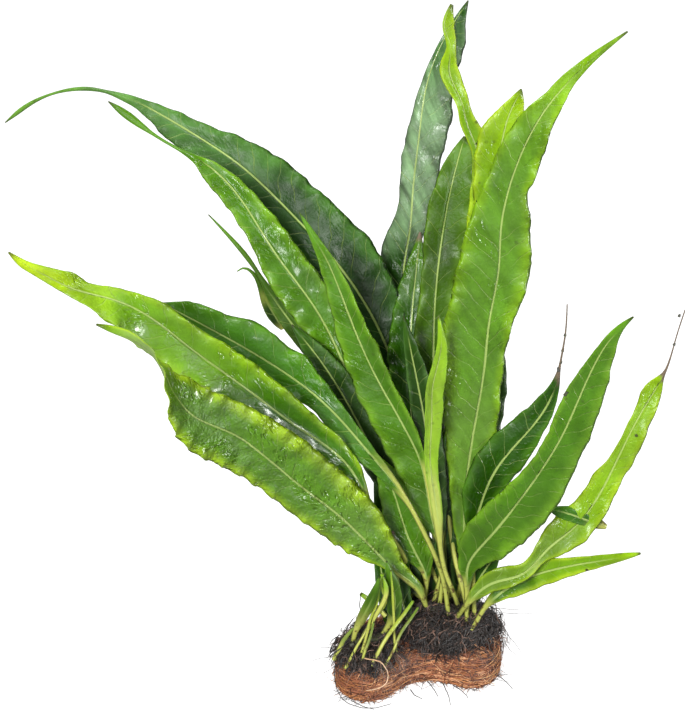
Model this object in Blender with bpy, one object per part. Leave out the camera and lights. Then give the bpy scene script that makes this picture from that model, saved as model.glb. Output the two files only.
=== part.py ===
"""A java fern clump rooted on a pad of matted coconut fibre.

X runs to the right, Y to the back and Z up. The origin is the centre of the pad's flat underside.
"""

import math

import bmesh
import bpy
from mathutils import Matrix, Vector

MM = 0.001
GAP = 0.3

# The pad: a kidney in plan, with a big lobe at the front left and a small one at the front right.
PAD_OUTLINE = [
    (-28.8, -3), (-26.5, -11), (-20, -15.4), (-12.5, -13.6), (-5, -6.6), (3, -3.4),
    (10.5, -5), (18, -7.8), (25, -5.4), (29, 3), (26, 13), (14, 18.5), (-6, 19.5), (-22, 12),
]
PAD_HEIGHT = 15.0
# Each level of the pad's side: its height as a share of the pad's, and how far it stands in.
PAD_LEVELS = [(0.0, 1.4), (0.1, 0.3), (0.35, 0.0), (0.75, 0.0), (0.93, 0.7), (1.0, 2.2)]
STEPS_PER_POINT = 3

# The root mats on top of the pad: centre, half length, half depth and height.
ROOT_MATS = {
    "roots_left": dict(centre=(-18.5, -5.5), half=(9.0, 9.5), height=3.4),
    "roots_right": dict(centre=(9.8, 6.5), half=(17.5, 11.0), height=9.4),
}
MAT_LEVELS = [(0.0, 0.94), (0.25, 1.0), (0.62, 0.9), (0.9, 0.66), (1.0, 0.3)]
MAT_SIDES = 20

RHIZOME_RADIUS = 1.9
RHIZOME_SIDES = 8
RHIZOMES = {
    "rhizome_front": [
        (-24.5, -9.5, 20.2), (-19, -8, 20.6), (-12, -5, 21), (-6, 3, 24.2), (1, 5.5, 25.4),
        (8, 4.3, 25.4), (15, 2, 25.1), (20.5, -1.5, 24.1),
    ],
    "rhizome_back": [(20, 6, 24.3), (13, 9, 25.4), (7, 11.2, 25.7), (1, 14, 25.7), (-5, 14.5, 25)],
}

# A blade's and a stalk's half thickness, at the midrib and at the margin.
STALK_HALF = 0.85
BLADE_RIB = 0.45
BLADE_MARGIN = 0.25
SEGMENT = 9.0
FEWEST_SEGMENTS = 8
# The direction that a blade with no turn faces: to the front, and up a little.
FACING = Vector((0, -math.cos(math.radians(25)), math.sin(math.radians(25))))

# Each frond: its route as (x, y, z, turn), base first, in mm, with the blade's turn about its own
# length in degrees; its outline as (share of the length, left half width, right half width), with
# bare stalk before the first row; and the angle that each half is folded up at the midrib.
FRONDS = {
    "frond_front_left": dict(
        route=[
            (2.2, 5, 27.5, 0), (-0.6, 3.4, 35, 0), (-6.7, 1, 42, 0), (-14.5, -2, 52, 0),
            (-28.2, -9.5, 72, 0), (-38.6, -16, 85, 0), (-49.9, -25, 101, 0), (-62, -34, 116, 0),
            (-72, -43, 126, 15), (-77.5, -49, 137, 60), (-81, -53, 149, 105),
            (-88, -57, 159, 125), (-97, -60, 164, 140),
        ],
        outline=[
            (0.03, 0.9, 1.1), (0.08, 1.5, 2.2), (0.13, 1.1, 4), (0.16, 2.2, 5.8),
            (0.19, 4.6, 7.6), (0.23, 7.2, 9.6), (0.28, 8.4, 11.2), (0.35, 9.2, 12),
            (0.43, 9, 12.4), (0.5, 9, 12.6), (0.56, 10, 11.6), (0.62, 11, 10), (0.68, 10.8, 10),
            (0.74, 8.6, 10), (0.79, 7.2, 8.4), (0.84, 4, 5.4), (0.88, 3, 3.4), (0.93, 2.4, 2.6),
            (0.97, 1.3, 1.4), (1, 0.3, 0.3),
        ],
        fold=8,
    ),
    "frond_far_left": dict(
        route=[
            (-5.5, 7, 27.5, 0), (-4, 7, 38, 0), (-15, 0.5, 65, 0), (-26, -4, 89, 0),
            (-41, -8, 104, 0), (-58, -13, 121, 0), (-76, -17, 138, 0), (-89, -21, 151, 0),
            (-99, -24, 157, 25), (-108, -27, 161, 10), (-117, -29, 167, -10),
            (-126, -32, 175, 0),
        ],
        outline=[
            (0.26, 0.9, 0.9), (0.32, 3, 3.4), (0.38, 4.6, 5), (0.44, 5.2, 6.6), (0.5, 6.4, 8),
            (0.55, 7.6, 8.2), (0.6, 9, 8.4), (0.65, 10, 8), (0.7, 10, 6.6), (0.75, 9.6, 6.8),
            (0.79, 9.4, 5.2), (0.83, 8.4, 3.8), (0.86, 5.2, 2.8), (0.885, 3, 4.4),
            (0.905, 2.2, 5), (0.94, 1.8, 2.8), (0.965, 2.2, 0.9), (0.985, 1.6, 0.5),
            (1, 0.3, 0.3),
        ],
        fold=15,
    ),
    "frond_left_mid": dict(
        route=[
            (10, 2.3, 27.5, 0), (8, 1, 40, 0), (1, -1, 60, 0), (-8, 0, 77, 0), (-18, 1, 90, 0),
            (-33, 4, 107, 0), (-51, 6, 121, 0), (-68, 6, 132, 0), (-86, 7, 142, 10),
        ],
        outline=[
            (0.32, 0.9, 0.9), (0.38, 2.4, 1.4), (0.44, 4, 2), (0.5, 5.6, 2.8), (0.56, 5.4, 3.6),
            (0.6, 4.2, 4.8), (0.65, 4.8, 6.2), (0.69, 6, 9), (0.72, 6, 8.2), (0.76, 5.4, 8.2),
            (0.79, 5, 10), (0.83, 5, 9), (0.88, 4.4, 6.4), (0.93, 3.4, 6.2), (0.965, 1.8, 3.8),
            (1, 0.3, 0.3),
        ],
        fold=10,
    ),
    "frond_upper_left": dict(
        route=[
            (3, 12.6, 28, 0), (2, 12, 35, 0), (-7, 15, 63, 0), (-17, 18, 90, 0),
            (-26, 21, 112, 0), (-36, 25, 132, 0), (-50, 28, 152, 0), (-63, 32, 172, 0),
            (-73, 34, 181, 10), (-83, 36, 186, 20), (-93, 38, 192, 20), (-104, 40, 200, 0),
        ],
        outline=[
            (0.24, 0.9, 0.9), (0.3, 2.8, 3), (0.36, 4, 5.2), (0.42, 5.4, 6.6), (0.5, 7.4, 7.6),
            (0.56, 8.6, 7.8), (0.62, 8, 7.8), (0.68, 5.2, 7.4), (0.73, 5.4, 5.4),
            (0.78, 5.4, 3.8), (0.815, 4.8, 2.4), (0.84, 1.8, 1), (0.87, 0.5, 0.5),
            (0.92, 0.5, 0.5), (0.95, 1.3, 1.6), (0.975, 1.3, 1.6), (1, 0.2, 0.2),
        ],
        fold=12,
    ),
    "frond_centre_left": dict(
        route=[
            (7.5, 6.2, 28, 0), (8, 5, 46, 0), (4, 5, 62, -10), (0, 7, 82, -15), (-7, 8, 98, -20),
            (-14, 9, 111, -20), (-24, 11, 134, -20), (-32, 12, 155, -10), (-41, 14, 171, 0),
        ],
        outline=[
            (0.2, 0.9, 0.9), (0.25, 4, 0.9), (0.3, 7, 1), (0.37, 9, 1.4), (0.43, 10, 3.2),
            (0.5, 9.8, 4.4), (0.57, 9.2, 4.8), (0.63, 8.4, 5.2), (0.67, 7.8, 5.8),
            (0.72, 6.8, 4.6), (0.8, 5, 4), (0.87, 3.4, 2.6), (0.93, 1.8, 1.2), (1, 0.2, 0.2),
        ],
        fold=12,
    ),
    "frond_back_left": dict(
        route=[
            (2.5, 15.8, 28, 0), (5, 19, 33, 0), (0, 24.4, 67.3, 0), (-7, 28.6, 100.1, 0),
            (-16, 32.6, 124.6, 0), (-31, 38.6, 146.1, 0), (-44, 45, 158.5, 0), (-62, 52, 174, 0),
            (-75, 56, 182, 0), (-90, 60, 190, 0), (-101, 62, 195, 0), (-112, 64, 197, 0),
            (-126, 67, 195, 0), (-138, 70, 189, 0), (-145, 72, 183, 0),
        ],
        outline=[
            (0.24, 0.9, 0.9), (0.3, 4.5, 5), (0.36, 8, 9), (0.42, 10, 12.4), (0.48, 10.4, 14.4),
            (0.51, 10, 12.9), (0.54, 9.6, 13), (0.57, 9.2, 12), (0.61, 8.4, 11.6),
            (0.65, 7.6, 9.4), (0.68, 6.8, 7.4), (0.71, 6.8, 5.2), (0.75, 6.6, 4), (0.775, 4, 3),
            (0.8, 2.2, 1.8), (0.825, 1.6, 1), (0.845, 0.5, 0.5), (0.87, 0.5, 1.1),
            (0.895, 0.4, 0.8), (0.92, 0.4, 0.4), (0.95, 0.9, 0.5), (0.975, 1.2, 0.6),
            (1, 0.2, 0.2),
        ],
        fold=8,
    ),
    "frond_back_tall": dict(
        route=[
            (5, 14.5, 28, 0), (6, 16, 39, 0), (5, 21.6, 68.7, 0), (2, 29.5, 95.8, 0),
            (-2, 36.5, 118.4, 0), (-6, 41.5, 136.4, 0), (-4, 44.6, 152.8, 0),
            (-3, 47.4, 166.4, 0), (-1, 51, 186, 0), (1, 55, 200, 0), (6, 59, 214, 0),
            (15, 63, 228, 10),
        ],
        outline=[
            (0.26, 0.9, 0.9), (0.32, 4, 3.5), (0.4, 6.6, 5.4), (0.48, 8, 6), (0.55, 8.8, 5.4),
            (0.59, 9.2, 4.8), (0.625, 7.6, 5.2), (0.65, 5.2, 6.4), (0.69, 4.6, 8.6),
            (0.73, 5.4, 9), (0.77, 4.8, 10), (0.81, 3.4, 11.6), (0.85, 2.2, 9.8), (0.89, 1.4, 9),
            (0.93, 0.9, 8.8), (0.965, 0.7, 4.8), (0.985, 0.6, 1.6), (1, 0.2, 0.2),
        ],
        fold=-20,
    ),
    "frond_back_slim": dict(
        route=[
            (8.5, 12.3, 28, 0), (10, 13, 40, 0), (12, 16, 79, 0), (14, 19, 116, 0),
            (17, 22, 144, 0), (19, 24, 171, 0), (17, 26, 187, 0), (13, 26, 197, 0),
            (11, 26, 204, 0), (7, 28, 214, 0), (7, 27, 222, 0), (5, 27, 228, 0),
            (7, 28, 235, 10),
        ],
        outline=[
            (0.3, 0.9, 0.9), (0.4, 3.5, 4), (0.5, 5, 5.5), (0.6, 5.5, 6), (0.7, 4.6, 6),
            (0.76, 2.4, 5), (0.79, 1.6, 4.4), (0.81, 2.6, 3.4), (0.84, 1.6, 2.2),
            (0.87, 2.4, 3.2), (0.9, 3.6, 3.2), (0.925, 1.8, 1.6), (0.94, 0.8, 1.6),
            (0.955, 0.7, 4), (0.975, 0.6, 3.6), (1, 0.2, 0.9),
        ],
        fold=10,
    ),
    "frond_front_tall": dict(
        route=[
            (13.5, 7, 28, 0), (15, 5, 40, 0), (15, 4, 54, 0), (15, 2, 79, 0), (17, -1, 103, 0),
            (19, -3, 123, 0), (20, -5, 142, 0), (22, -7, 160, 0), (22, -8, 173, 0),
            (24, -10, 188, 0), (28, -12, 202, 0), (35, -14, 216, 0), (43, -16, 226, 0),
            (49, -17, 232, 0), (55, -19, 238, 0),
        ],
        outline=[
            (0.1, 0.9, 0.9), (0.14, 3, 1.6), (0.2, 4.8, 3.2), (0.25, 6.2, 5.5), (0.3, 8.2, 7.5),
            (0.35, 10.4, 7.8), (0.4, 12.2, 6.8), (0.45, 13.6, 6.2), (0.5, 15.2, 6.8),
            (0.54, 13.8, 8.4), (0.6, 14, 10.3), (0.65, 12, 9.6), (0.7, 9.2, 8.6),
            (0.73, 7.8, 5.4), (0.76, 7.2, 7), (0.8, 6.8, 6.4), (0.84, 5, 4.8), (0.87, 2.9, 3.8),
            (0.9, 2.8, 1.8), (0.94, 2, 0.7), (1, 0.3, 0.3),
        ],
        fold=10,
    ),
    "frond_centre": dict(
        route=[
            (16.8, 2.4, 27.5, 0), (15, 1, 36, 0), (12, 5, 47.1, 0), (10, 9.6, 59.4, 0),
            (7, 14.6, 73.8, 0), (5, 18.8, 91.6, 0), (4, 21, 111, 0), (4, 24, 133, 0),
            (6, 28, 156, 0), (9, 31, 174, 0), (13, 34, 190, 0),
        ],
        outline=[
            (0.24, 0.9, 0.9), (0.32, 3, 2.5), (0.4, 5, 4), (0.5, 7, 5), (0.57, 7.6, 6),
            (0.64, 6, 6.2), (0.72, 5.2, 6.4), (0.8, 6.2, 8), (0.86, 6.4, 9), (0.9, 5.6, 8.6),
            (0.95, 4.2, 6.2), (0.98, 2, 3.6), (1, 0.3, 0.3),
        ],
        fold=10,
    ),
    "frond_back_right": dict(
        route=[
            (11.5, 10.3, 28, 0), (14, 10, 43, 0), (15, 11, 82, 0), (16, 13, 112, 0),
            (18, 13, 140, 0), (21, 14, 168, 0), (23, 15, 188, 0), (25, 16, 201, 0),
            (29, 16, 211, 0),
        ],
        outline=[
            (0.3, 0.9, 0.9), (0.4, 4, 4), (0.5, 5, 5), (0.6, 5.5, 5.5), (0.7, 5.6, 5.5),
            (0.8, 7, 5.5), (0.87, 8.2, 5.4), (0.92, 8.2, 5.2), (0.945, 5, 5), (0.965, 2.8, 4.6),
            (0.985, 1.6, 2.8), (1, 0.3, 0.3),
        ],
        fold=10,
    ),
    "frond_inner_right": dict(
        route=[
            (17.5, 7.2, 27, 0), (20, 7, 44, 0), (22, 9, 75, 0), (22, 10, 98, 0),
            (24, 11, 115, 0), (24, 11, 128, 0), (26, 10, 137, 0),
        ],
        outline=[
            (0.28, 0.9, 0.9), (0.4, 3.8, 3.8), (0.6, 5.2, 5.2), (0.75, 4.8, 4.8),
            (0.9, 2.6, 2.6), (1, 0.3, 0.3),
        ],
        fold=10,
    ),
    "frond_thread_tip": dict(
        route=[
            (19.3, 1.6, 26.5, 0), (18, 0, 46, 0), (18, -2, 62, 0), (20, -3, 74, 0),
            (24, -4, 86, 0), (30, -5, 96, 0), (38, -6, 108, 0), (42, -7, 119, 0),
            (43, -8, 128, 0), (44, -8, 138, 0), (44, -8, 148, 0),
        ],
        outline=[
            (0.26, 0.9, 0.9), (0.33, 4, 2.5), (0.4, 7.4, 4.4), (0.46, 8.4, 5.8),
            (0.52, 8.6, 6.8), (0.57, 8.2, 6.9), (0.62, 6.8, 5.4), (0.68, 5.6, 3.8),
            (0.73, 4.2, 2.6), (0.77, 2.4, 1.6), (0.8, 1.1, 0.8), (0.83, 0.35, 0.35),
            (1, 0.2, 0.2),
        ],
        fold=15,
    ),
    "frond_right_broad": dict(
        route=[
            (16.5, -0.5, 27, 0), (16, -2, 39, 0), (16, -5, 50, 0), (20, -9, 60, 0),
            (26, -14, 72, 0), (33, -19, 87, 0), (42, -26, 110, 0), (48, -32, 133, 0),
            (54, -37, 150, 0), (59, -41, 158, 0),
        ],
        outline=[
            (0.1, 0.9, 0.9), (0.15, 1.6, 2.6), (0.2, 4.6, 4.6), (0.25, 7.6, 7), (0.3, 9.2, 8.8),
            (0.35, 8.9, 9.8), (0.41, 7.6, 10.8), (0.48, 5.8, 11.2), (0.54, 4.6, 10.2),
            (0.6, 4.4, 8.8), (0.68, 5, 8.2), (0.75, 5, 7.4), (0.8, 4.2, 7), (0.85, 2.6, 5.6),
            (0.9, 1.8, 4), (0.94, 1.4, 1.8), (0.97, 1.1, 0.7), (1, 0.3, 0.3),
        ],
        fold=12,
    ),
    "frond_right_outer": dict(
        route=[
            (14, -0.3, 27, 0), (17, -7, 37, 0), (24, -9, 45, 0), (34, -11, 50, 0),
            (42, -10, 59, 0), (50, -10, 67, 0), (58, -9, 79, 0), (63, -9, 92, 0),
            (69, -9, 108, 0), (75, -8, 120, 0), (77, -9, 126, 0), (79, -9, 136, 0),
            (81, -10, 147, 0),
        ],
        outline=[
            (0.1, 0.9, 0.9), (0.14, 2.6, 2.2), (0.18, 4.2, 3), (0.22, 5, 3.2), (0.26, 4, 2.6),
            (0.3, 2.6, 1.6), (0.34, 4.2, 3.4), (0.38, 6.4, 5.6), (0.43, 7.6, 6),
            (0.48, 5.8, 5.2), (0.52, 5.2, 5.3), (0.56, 5.6, 4.4), (0.6, 3.2, 5),
            (0.64, 2.2, 5.6), (0.7, 2, 5.2), (0.75, 2.6, 4.2), (0.79, 4, 3.4), (0.815, 3.8, 1.4),
            (0.83, 0.5, 0.4), (0.9, 0.22, 0.22), (1, 0.2, 0.2),
        ],
        fold=12,
    ),
    "frond_right_low": dict(
        route=[
            (20, -2.8, 26, 0), (23, -4, 33, 0), (28, -5, 39, 0), (36, -6, 45.2, 0),
            (47, -10, 51.8, 0), (57, -15, 57.4, 0), (71, -22, 65, 0),
        ],
        outline=[
            (0.16, 0.9, 0.9), (0.24, 2.4, 2.4), (0.33, 3.8, 4.4), (0.44, 4.4, 4.8),
            (0.54, 4.4, 4.4), (0.63, 3.2, 3.6), (0.73, 2.4, 2.8), (0.83, 1.7, 2.1),
            (0.93, 1.1, 1.4), (1, 0.3, 0.5),
        ],
        fold=12,
    ),
    "frond_centre_folded": dict(
        route=[
            (13.5, 4.6, 28, 0), (12, 1, 34, 0), (9, -1, 43, 0), (6, -4, 59, 0), (4, -6, 76, 0),
            (2, -7, 91, 0), (2, -9, 108, 0), (2, -11, 121, 0), (4, -13, 134, 0),
            (3, -15, 147, 0),
        ],
        outline=[
            (0.28, 0.9, 0.9), (0.38, 1.8, 2.2), (0.55, 2.4, 3.2), (0.7, 3, 4.6), (0.8, 2.8, 5),
            (0.87, 2.2, 3.8), (0.93, 1.2, 1.8), (1, 0.3, 0.3),
        ],
        fold=40,
    ),
    "frond_centre_inner": dict(
        route=[
            (6, 9.5, 28, 0), (8, 8, 40, 0), (6, 8, 60, 0), (3, 10.3, 82.4, 0),
            (0, 11.2, 101.4, 0), (-4, 10.6, 121.7, 0), (-7, 10, 136, 0),
        ],
        outline=[
            (0.24, 0.9, 0.9), (0.36, 3.6, 4.2), (0.5, 4.2, 5.4), (0.65, 4.2, 5.4),
            (0.8, 3.4, 4.4), (0.92, 1.8, 2.2), (1, 0.2, 0.2),
        ],
        fold=15,
    ),
    "frond_back_thin": dict(
        route=[
            (-2.3, 16, 27.6, 0), (0, 18, 38, 0), (-10, 24, 71, 0), (-24, 30, 97, 0),
            (-38, 34, 114, 0), (-50, 39, 129, 0), (-59, 42, 143, 0), (-67, 45, 152, 0),
            (-73, 47, 158, 0),
        ],
        outline=[
            (0.36, 0.9, 0.9), (0.5, 3.2, 3.4), (0.62, 3.6, 3.6), (0.72, 3.4, 2.6),
            (0.79, 1.8, 1.4), (0.83, 0.6, 0.6), (0.88, 0.9, 1), (0.93, 0.7, 0.7), (1, 0.2, 0.2),
        ],
        fold=12,
    ),
    "frond_inner_left": dict(
        route=[
            (-2, 13, 28, 0), (-2, 12, 37, 0), (-12, 13, 73, 0), (-24, 15, 99, 0),
            (-34, 17, 116, 0), (-44, 19, 129, 0),
        ],
        outline=[
            (0.3, 0.9, 0.9), (0.45, 4.6, 4.8), (0.62, 6.6, 6.8), (0.78, 6, 6), (0.9, 3.6, 3.6),
            (1, 0.3, 0.3),
        ],
        fold=12,
    ),
    "frond_young_front": dict(
        route=[
            (2, 7.4, 28, 0), (2.5, 8.2, 35.2, 0), (-1.5, 8.8, 46.3, 0), (-5, 9.2, 54.9, 0),
            (-9, 9.4, 68.9, 0), (-15, 9.6, 84.1, 0),
        ],
        outline=[
            (0.2, 0.9, 0.9), (0.28, 1.6, 4.6), (0.36, 5, 6.4), (0.5, 6.2, 7.6), (0.65, 6.4, 7),
            (0.8, 5, 5.5), (0.92, 3, 3), (1, 0.3, 0.3),
        ],
        fold=15,
    ),
    "frond_small_stalk": dict(
        route=[
            (-19.5, -8, 23.2, 0), (-18, -9, 27, 0), (-15, -10, 34, 0), (-12, -9, 41, 0),
            (-14, -9, 49, 0),
        ],
        outline=[
            (0.6, 0.85, 0.85), (0.8, 1.2, 1), (1, 0.3, 0.3),
        ],
        fold=15,
    ),
    "frond_small_blade": dict(
        route=[
            (-23.2, -9, 22.6, 0), (-22.6, -10, 26, 0), (-20, -11, 33, 0), (-16.5, -12, 42, 0),
            (-14.5, -13, 50, 0),
        ],
        outline=[
            (0.25, 0.9, 0.9), (0.4, 1.72, 1.72), (0.6, 2.18, 2.03), (0.8, 1.56, 1.56),
            (1, 0.3, 0.3),
        ],
        fold=15,
    ),
    "frond_small_inner": dict(
        route=[
            (-12, -5.3, 23.6, 0), (-10, -6, 28, 0), (-9, -6, 36, 0), (-10, -6, 43, 0),
            (-12, -6, 52, 0),
        ],
        outline=[
            (0.2, 0.9, 0.9), (0.4, 2.65, 2.65), (0.65, 2.81, 2.96), (0.85, 1.87, 1.87),
            (1, 0.3, 0.3),
        ],
        fold=15,
    ),
}

COLOURS = {
    "coir": (0.42, 0.19, 0.07, 0.9),
    "root": (0.03, 0.02, 0.014, 0.8),
    "rhizome": (0.09, 0.13, 0.02, 0.5),
    "frond": (0.09, 0.27, 0.02, 0.35),
}


def clear_scene():
    for thing in list(bpy.data.objects):
        bpy.data.objects.remove(thing, do_unlink=True)


def principled(name):
    red, green, blue, roughness = COLOURS[name]
    material = bpy.data.materials.new(name)
    material.use_nodes = True
    shader = material.node_tree.nodes["Principled BSDF"]
    shader.inputs["Base Color"].default_value = (red, green, blue, 1)
    shader.inputs["Roughness"].default_value = roughness
    shader.inputs["Metallic"].default_value = 0
    return material


def solid_from_rings(name, rings, material):
    """Joins rings of the same number of points, in mm, into one closed body with flat ends."""
    shape = bmesh.new()
    rows = [[shape.verts.new(Vector(point) * MM) for point in ring] for ring in rings]
    sides = len(rings[0])
    for low, high in zip(rows, rows[1:]):
        for side in range(sides):
            after = (side + 1) % sides
            shape.faces.new((low[side], low[after], high[after], high[side]))
    shape.faces.new(reversed(rows[0]))
    shape.faces.new(rows[-1])
    bmesh.ops.triangulate(shape, faces=shape.faces)
    bmesh.ops.recalc_face_normals(shape, faces=shape.faces)
    mesh = bpy.data.meshes.new(name)
    shape.to_mesh(mesh)
    shape.free()
    mesh.materials.append(material)
    mesh.shade_smooth()
    mesh.set_sharp_from_angle(angle=math.radians(40))
    item = bpy.data.objects.new(name, mesh)
    bpy.context.scene.collection.objects.link(item)
    return item


def closed_curve(points, steps):
    """A smooth closed curve (Catmull-Rom) through the points, as a list of Vectors."""
    count = len(points)
    curve = []
    for index in range(count):
        a, b, c, d = (Vector(points[(index + shift) % count]) for shift in (-1, 0, 1, 2))
        for step in range(steps):
            t = step / steps
            curve.append(
                b + 0.5 * t * ((c - a) + t * (2 * a - 5 * b + 4 * c - d + t * (3 * (b - c) + d - a)))
            )
    return curve


def natural_spline(rows, count):
    """Evenly spaced rows on the natural cubic spline through the given rows, and its length."""
    places = [Vector(row[:3]) for row in rows]
    knots = [0.0]
    for start, end in zip(places, places[1:]):
        knots.append(knots[-1] + (end - start).length)
    gaps = [b - a for a, b in zip(knots, knots[1:])]
    last = len(rows) - 1
    width = len(rows[0])
    # The second derivatives at the knots, by elimination of the three-term system.
    upper = [0.0] * (last + 1)
    right = [[0.0] * width for _ in range(last + 1)]
    for i in range(1, last):
        pivot = 2 * (gaps[i - 1] + gaps[i]) - gaps[i - 1] * upper[i - 1]
        upper[i] = gaps[i] / pivot
        for k in range(width):
            slope_after = (rows[i + 1][k] - rows[i][k]) / gaps[i]
            slope_before = (rows[i][k] - rows[i - 1][k]) / gaps[i - 1]
            known = 6 * (slope_after - slope_before) - gaps[i - 1] * right[i - 1][k]
            right[i][k] = known / pivot
    bend = [[0.0] * width for _ in range(last + 1)]
    for i in range(last - 1, 0, -1):
        for k in range(width):
            bend[i][k] = right[i][k] - upper[i] * bend[i + 1][k]
    result = []
    span = 0
    for step in range(count):
        along = knots[-1] * step / (count - 1)
        while span < last - 1 and along > knots[span + 1]:
            span += 1
        gap = gaps[span]
        before = knots[span + 1] - along
        after = along - knots[span]
        row = []
        for k in range(width):
            curved = (bend[span][k] * before**3 + bend[span + 1][k] * after**3) / (6 * gap)
            straight = (rows[span][k] / gap - bend[span][k] * gap / 6) * before
            straight += (rows[span + 1][k] / gap - bend[span + 1][k] * gap / 6) * after
            row.append(curved + straight)
        result.append(row)
    return result, knots[-1]


def directions(rows):
    """The unit tangent at each row, from its neighbours."""
    places = [Vector(row[:3]) for row in rows]
    ends = len(places) - 1
    return [(places[min(i + 1, ends)] - places[max(i - 1, 0)]).normalized() for i in range(ends + 1)]


def half_widths(share, outline):
    """The left and right half widths at a share of the frond's length."""
    rows = [(0.0, STALK_HALF, STALK_HALF), (outline[0][0], STALK_HALF, STALK_HALF), *outline[1:]]
    for (start, left, right), (end, next_left, next_right) in zip(rows, rows[1:]):
        if share <= end:
            part = (share - start) / (end - start)
            return left + (next_left - left) * part, right + (next_right - right) * part
    return rows[-1][1:]


def build_frond(name, frond, material):
    route, length = natural_spline(frond["route"], 40)
    count = max(FEWEST_SEGMENTS, round(length / SEGMENT)) + 1
    rows = natural_spline(frond["route"], count)[0]
    fold = math.radians(frond["fold"])
    rings = []
    for index, (row, tangent) in enumerate(zip(rows, directions(rows))):
        share = index / (count - 1)
        left, right = half_widths(share, frond["outline"])
        across = tangent.cross(FACING).normalized()
        turn = Matrix.Rotation(math.radians(row[3]), 3, tangent)
        across = turn @ across
        normal = across.cross(tangent)
        middle = Vector(row[:3])
        blade = min(1.0, max(0.0, (max(left, right) - 1) / 2))
        lean = fold * blade
        rib = STALK_HALF + (BLADE_RIB - STALK_HALF) * max(blade, share)
        margin = STALK_HALF * 0.5 + (BLADE_MARGIN - STALK_HALF * 0.5) * max(blade, share)
        left_edge = middle - across * left * math.cos(lean) + normal * left * math.sin(lean)
        right_edge = middle + across * right * math.cos(lean) + normal * right * math.sin(lean)
        rings.append([
            left_edge - normal * margin, middle - normal * rib, right_edge - normal * margin,
            right_edge + normal * margin, middle + normal * rib, left_edge + normal * margin,
        ])
    return solid_from_rings(name, rings, material)


def build_pad(material):
    outline = closed_curve(PAD_OUTLINE, STEPS_PER_POINT)
    count = len(outline)
    outward = []
    for index in range(count):
        along = (outline[(index + 1) % count] - outline[index - 1]).normalized()
        outward.append(Vector((along.y, -along.x)))
    rings = []
    for level, inset in PAD_LEVELS:
        height = PAD_HEIGHT * level
        ring = [point - away * inset for point, away in zip(outline, outward)]
        rings.append([(point.x, point.y, height) for point in ring])
    return solid_from_rings("coir_pad", rings, material)


def build_mat(name, mat, material):
    """A low dome of tangled roots, standing on the pad."""
    floor = PAD_HEIGHT + GAP
    rings = []
    for level, size in MAT_LEVELS:
        ring = []
        for side in range(MAT_SIDES):
            angle = 2 * math.pi * side / MAT_SIDES
            x = mat["centre"][0] + mat["half"][0] * size * math.cos(angle)
            y = mat["centre"][1] + mat["half"][1] * size * math.sin(angle)
            ring.append((x, y, floor + mat["height"] * level))
        rings.append(ring)
    return solid_from_rings(name, rings, material)


def build_rhizome(name, route, radius, material):
    """A round creeping stem, rounded off at both ends."""
    rows = natural_spline(route, 3 * len(route))[0]
    last = len(rows) - 1
    rings = []
    for index, (row, tangent) in enumerate(zip(rows, directions(rows))):
        size = radius * (0.6 if index in (0, last) else 1.0)
        across = tangent.cross(Vector((0, 0, 1))).normalized()
        up = across.cross(tangent)
        middle = Vector(row)
        ring = []
        for side in range(RHIZOME_SIDES):
            angle = 2 * math.pi * (side + 0.5) / RHIZOME_SIDES
            ring.append(middle + size * (across * math.cos(angle) + up * math.sin(angle)))
        rings.append(ring)
    return solid_from_rings(name, rings, material)


def cut_grooves(mat, cutters):
    for cutter in cutters:
        cut = mat.modifiers.new(cutter.name, "BOOLEAN")
        cut.operation = "DIFFERENCE"
        cut.solver = "EXACT"
        cut.object = cutter


def main():
    clear_scene()
    coir = principled("coir")
    root = principled("root")
    stem = principled("rhizome")
    leaf = principled("frond")

    build_pad(coir)
    cutters = []
    for name, route in RHIZOMES.items():
        build_rhizome(name, route, RHIZOME_RADIUS, stem)
        cutter = build_rhizome(name + "_cutter", route, RHIZOME_RADIUS + GAP, stem)
        cutter.hide_render = True
        cutter.display_type = "WIRE"
        cutters.append(cutter)
    for name, mat in ROOT_MATS.items():
        cut_grooves(build_mat(name, mat, root), cutters)
    for name, frond in FRONDS.items():
        build_frond(name, frond, leaf)


main()
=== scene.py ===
import math
import random

import bpy
import numpy as np
from mathutils import Matrix, Vector, noise


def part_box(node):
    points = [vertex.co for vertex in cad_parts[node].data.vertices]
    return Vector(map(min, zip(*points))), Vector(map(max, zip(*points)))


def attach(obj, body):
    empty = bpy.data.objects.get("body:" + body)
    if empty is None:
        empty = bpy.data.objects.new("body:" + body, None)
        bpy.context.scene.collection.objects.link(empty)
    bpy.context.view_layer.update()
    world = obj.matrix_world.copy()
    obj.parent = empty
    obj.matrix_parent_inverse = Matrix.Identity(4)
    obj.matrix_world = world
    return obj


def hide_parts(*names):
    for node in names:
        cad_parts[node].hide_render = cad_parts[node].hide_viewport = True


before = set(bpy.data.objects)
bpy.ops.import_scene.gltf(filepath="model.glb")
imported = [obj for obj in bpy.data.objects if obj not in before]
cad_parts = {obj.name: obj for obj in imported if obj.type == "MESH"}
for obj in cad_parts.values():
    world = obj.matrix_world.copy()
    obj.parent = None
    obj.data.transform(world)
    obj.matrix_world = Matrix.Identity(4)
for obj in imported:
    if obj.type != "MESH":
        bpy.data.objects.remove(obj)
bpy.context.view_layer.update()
mm = 0.001
print("frame loaded:", len(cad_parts), "nodes")


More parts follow.
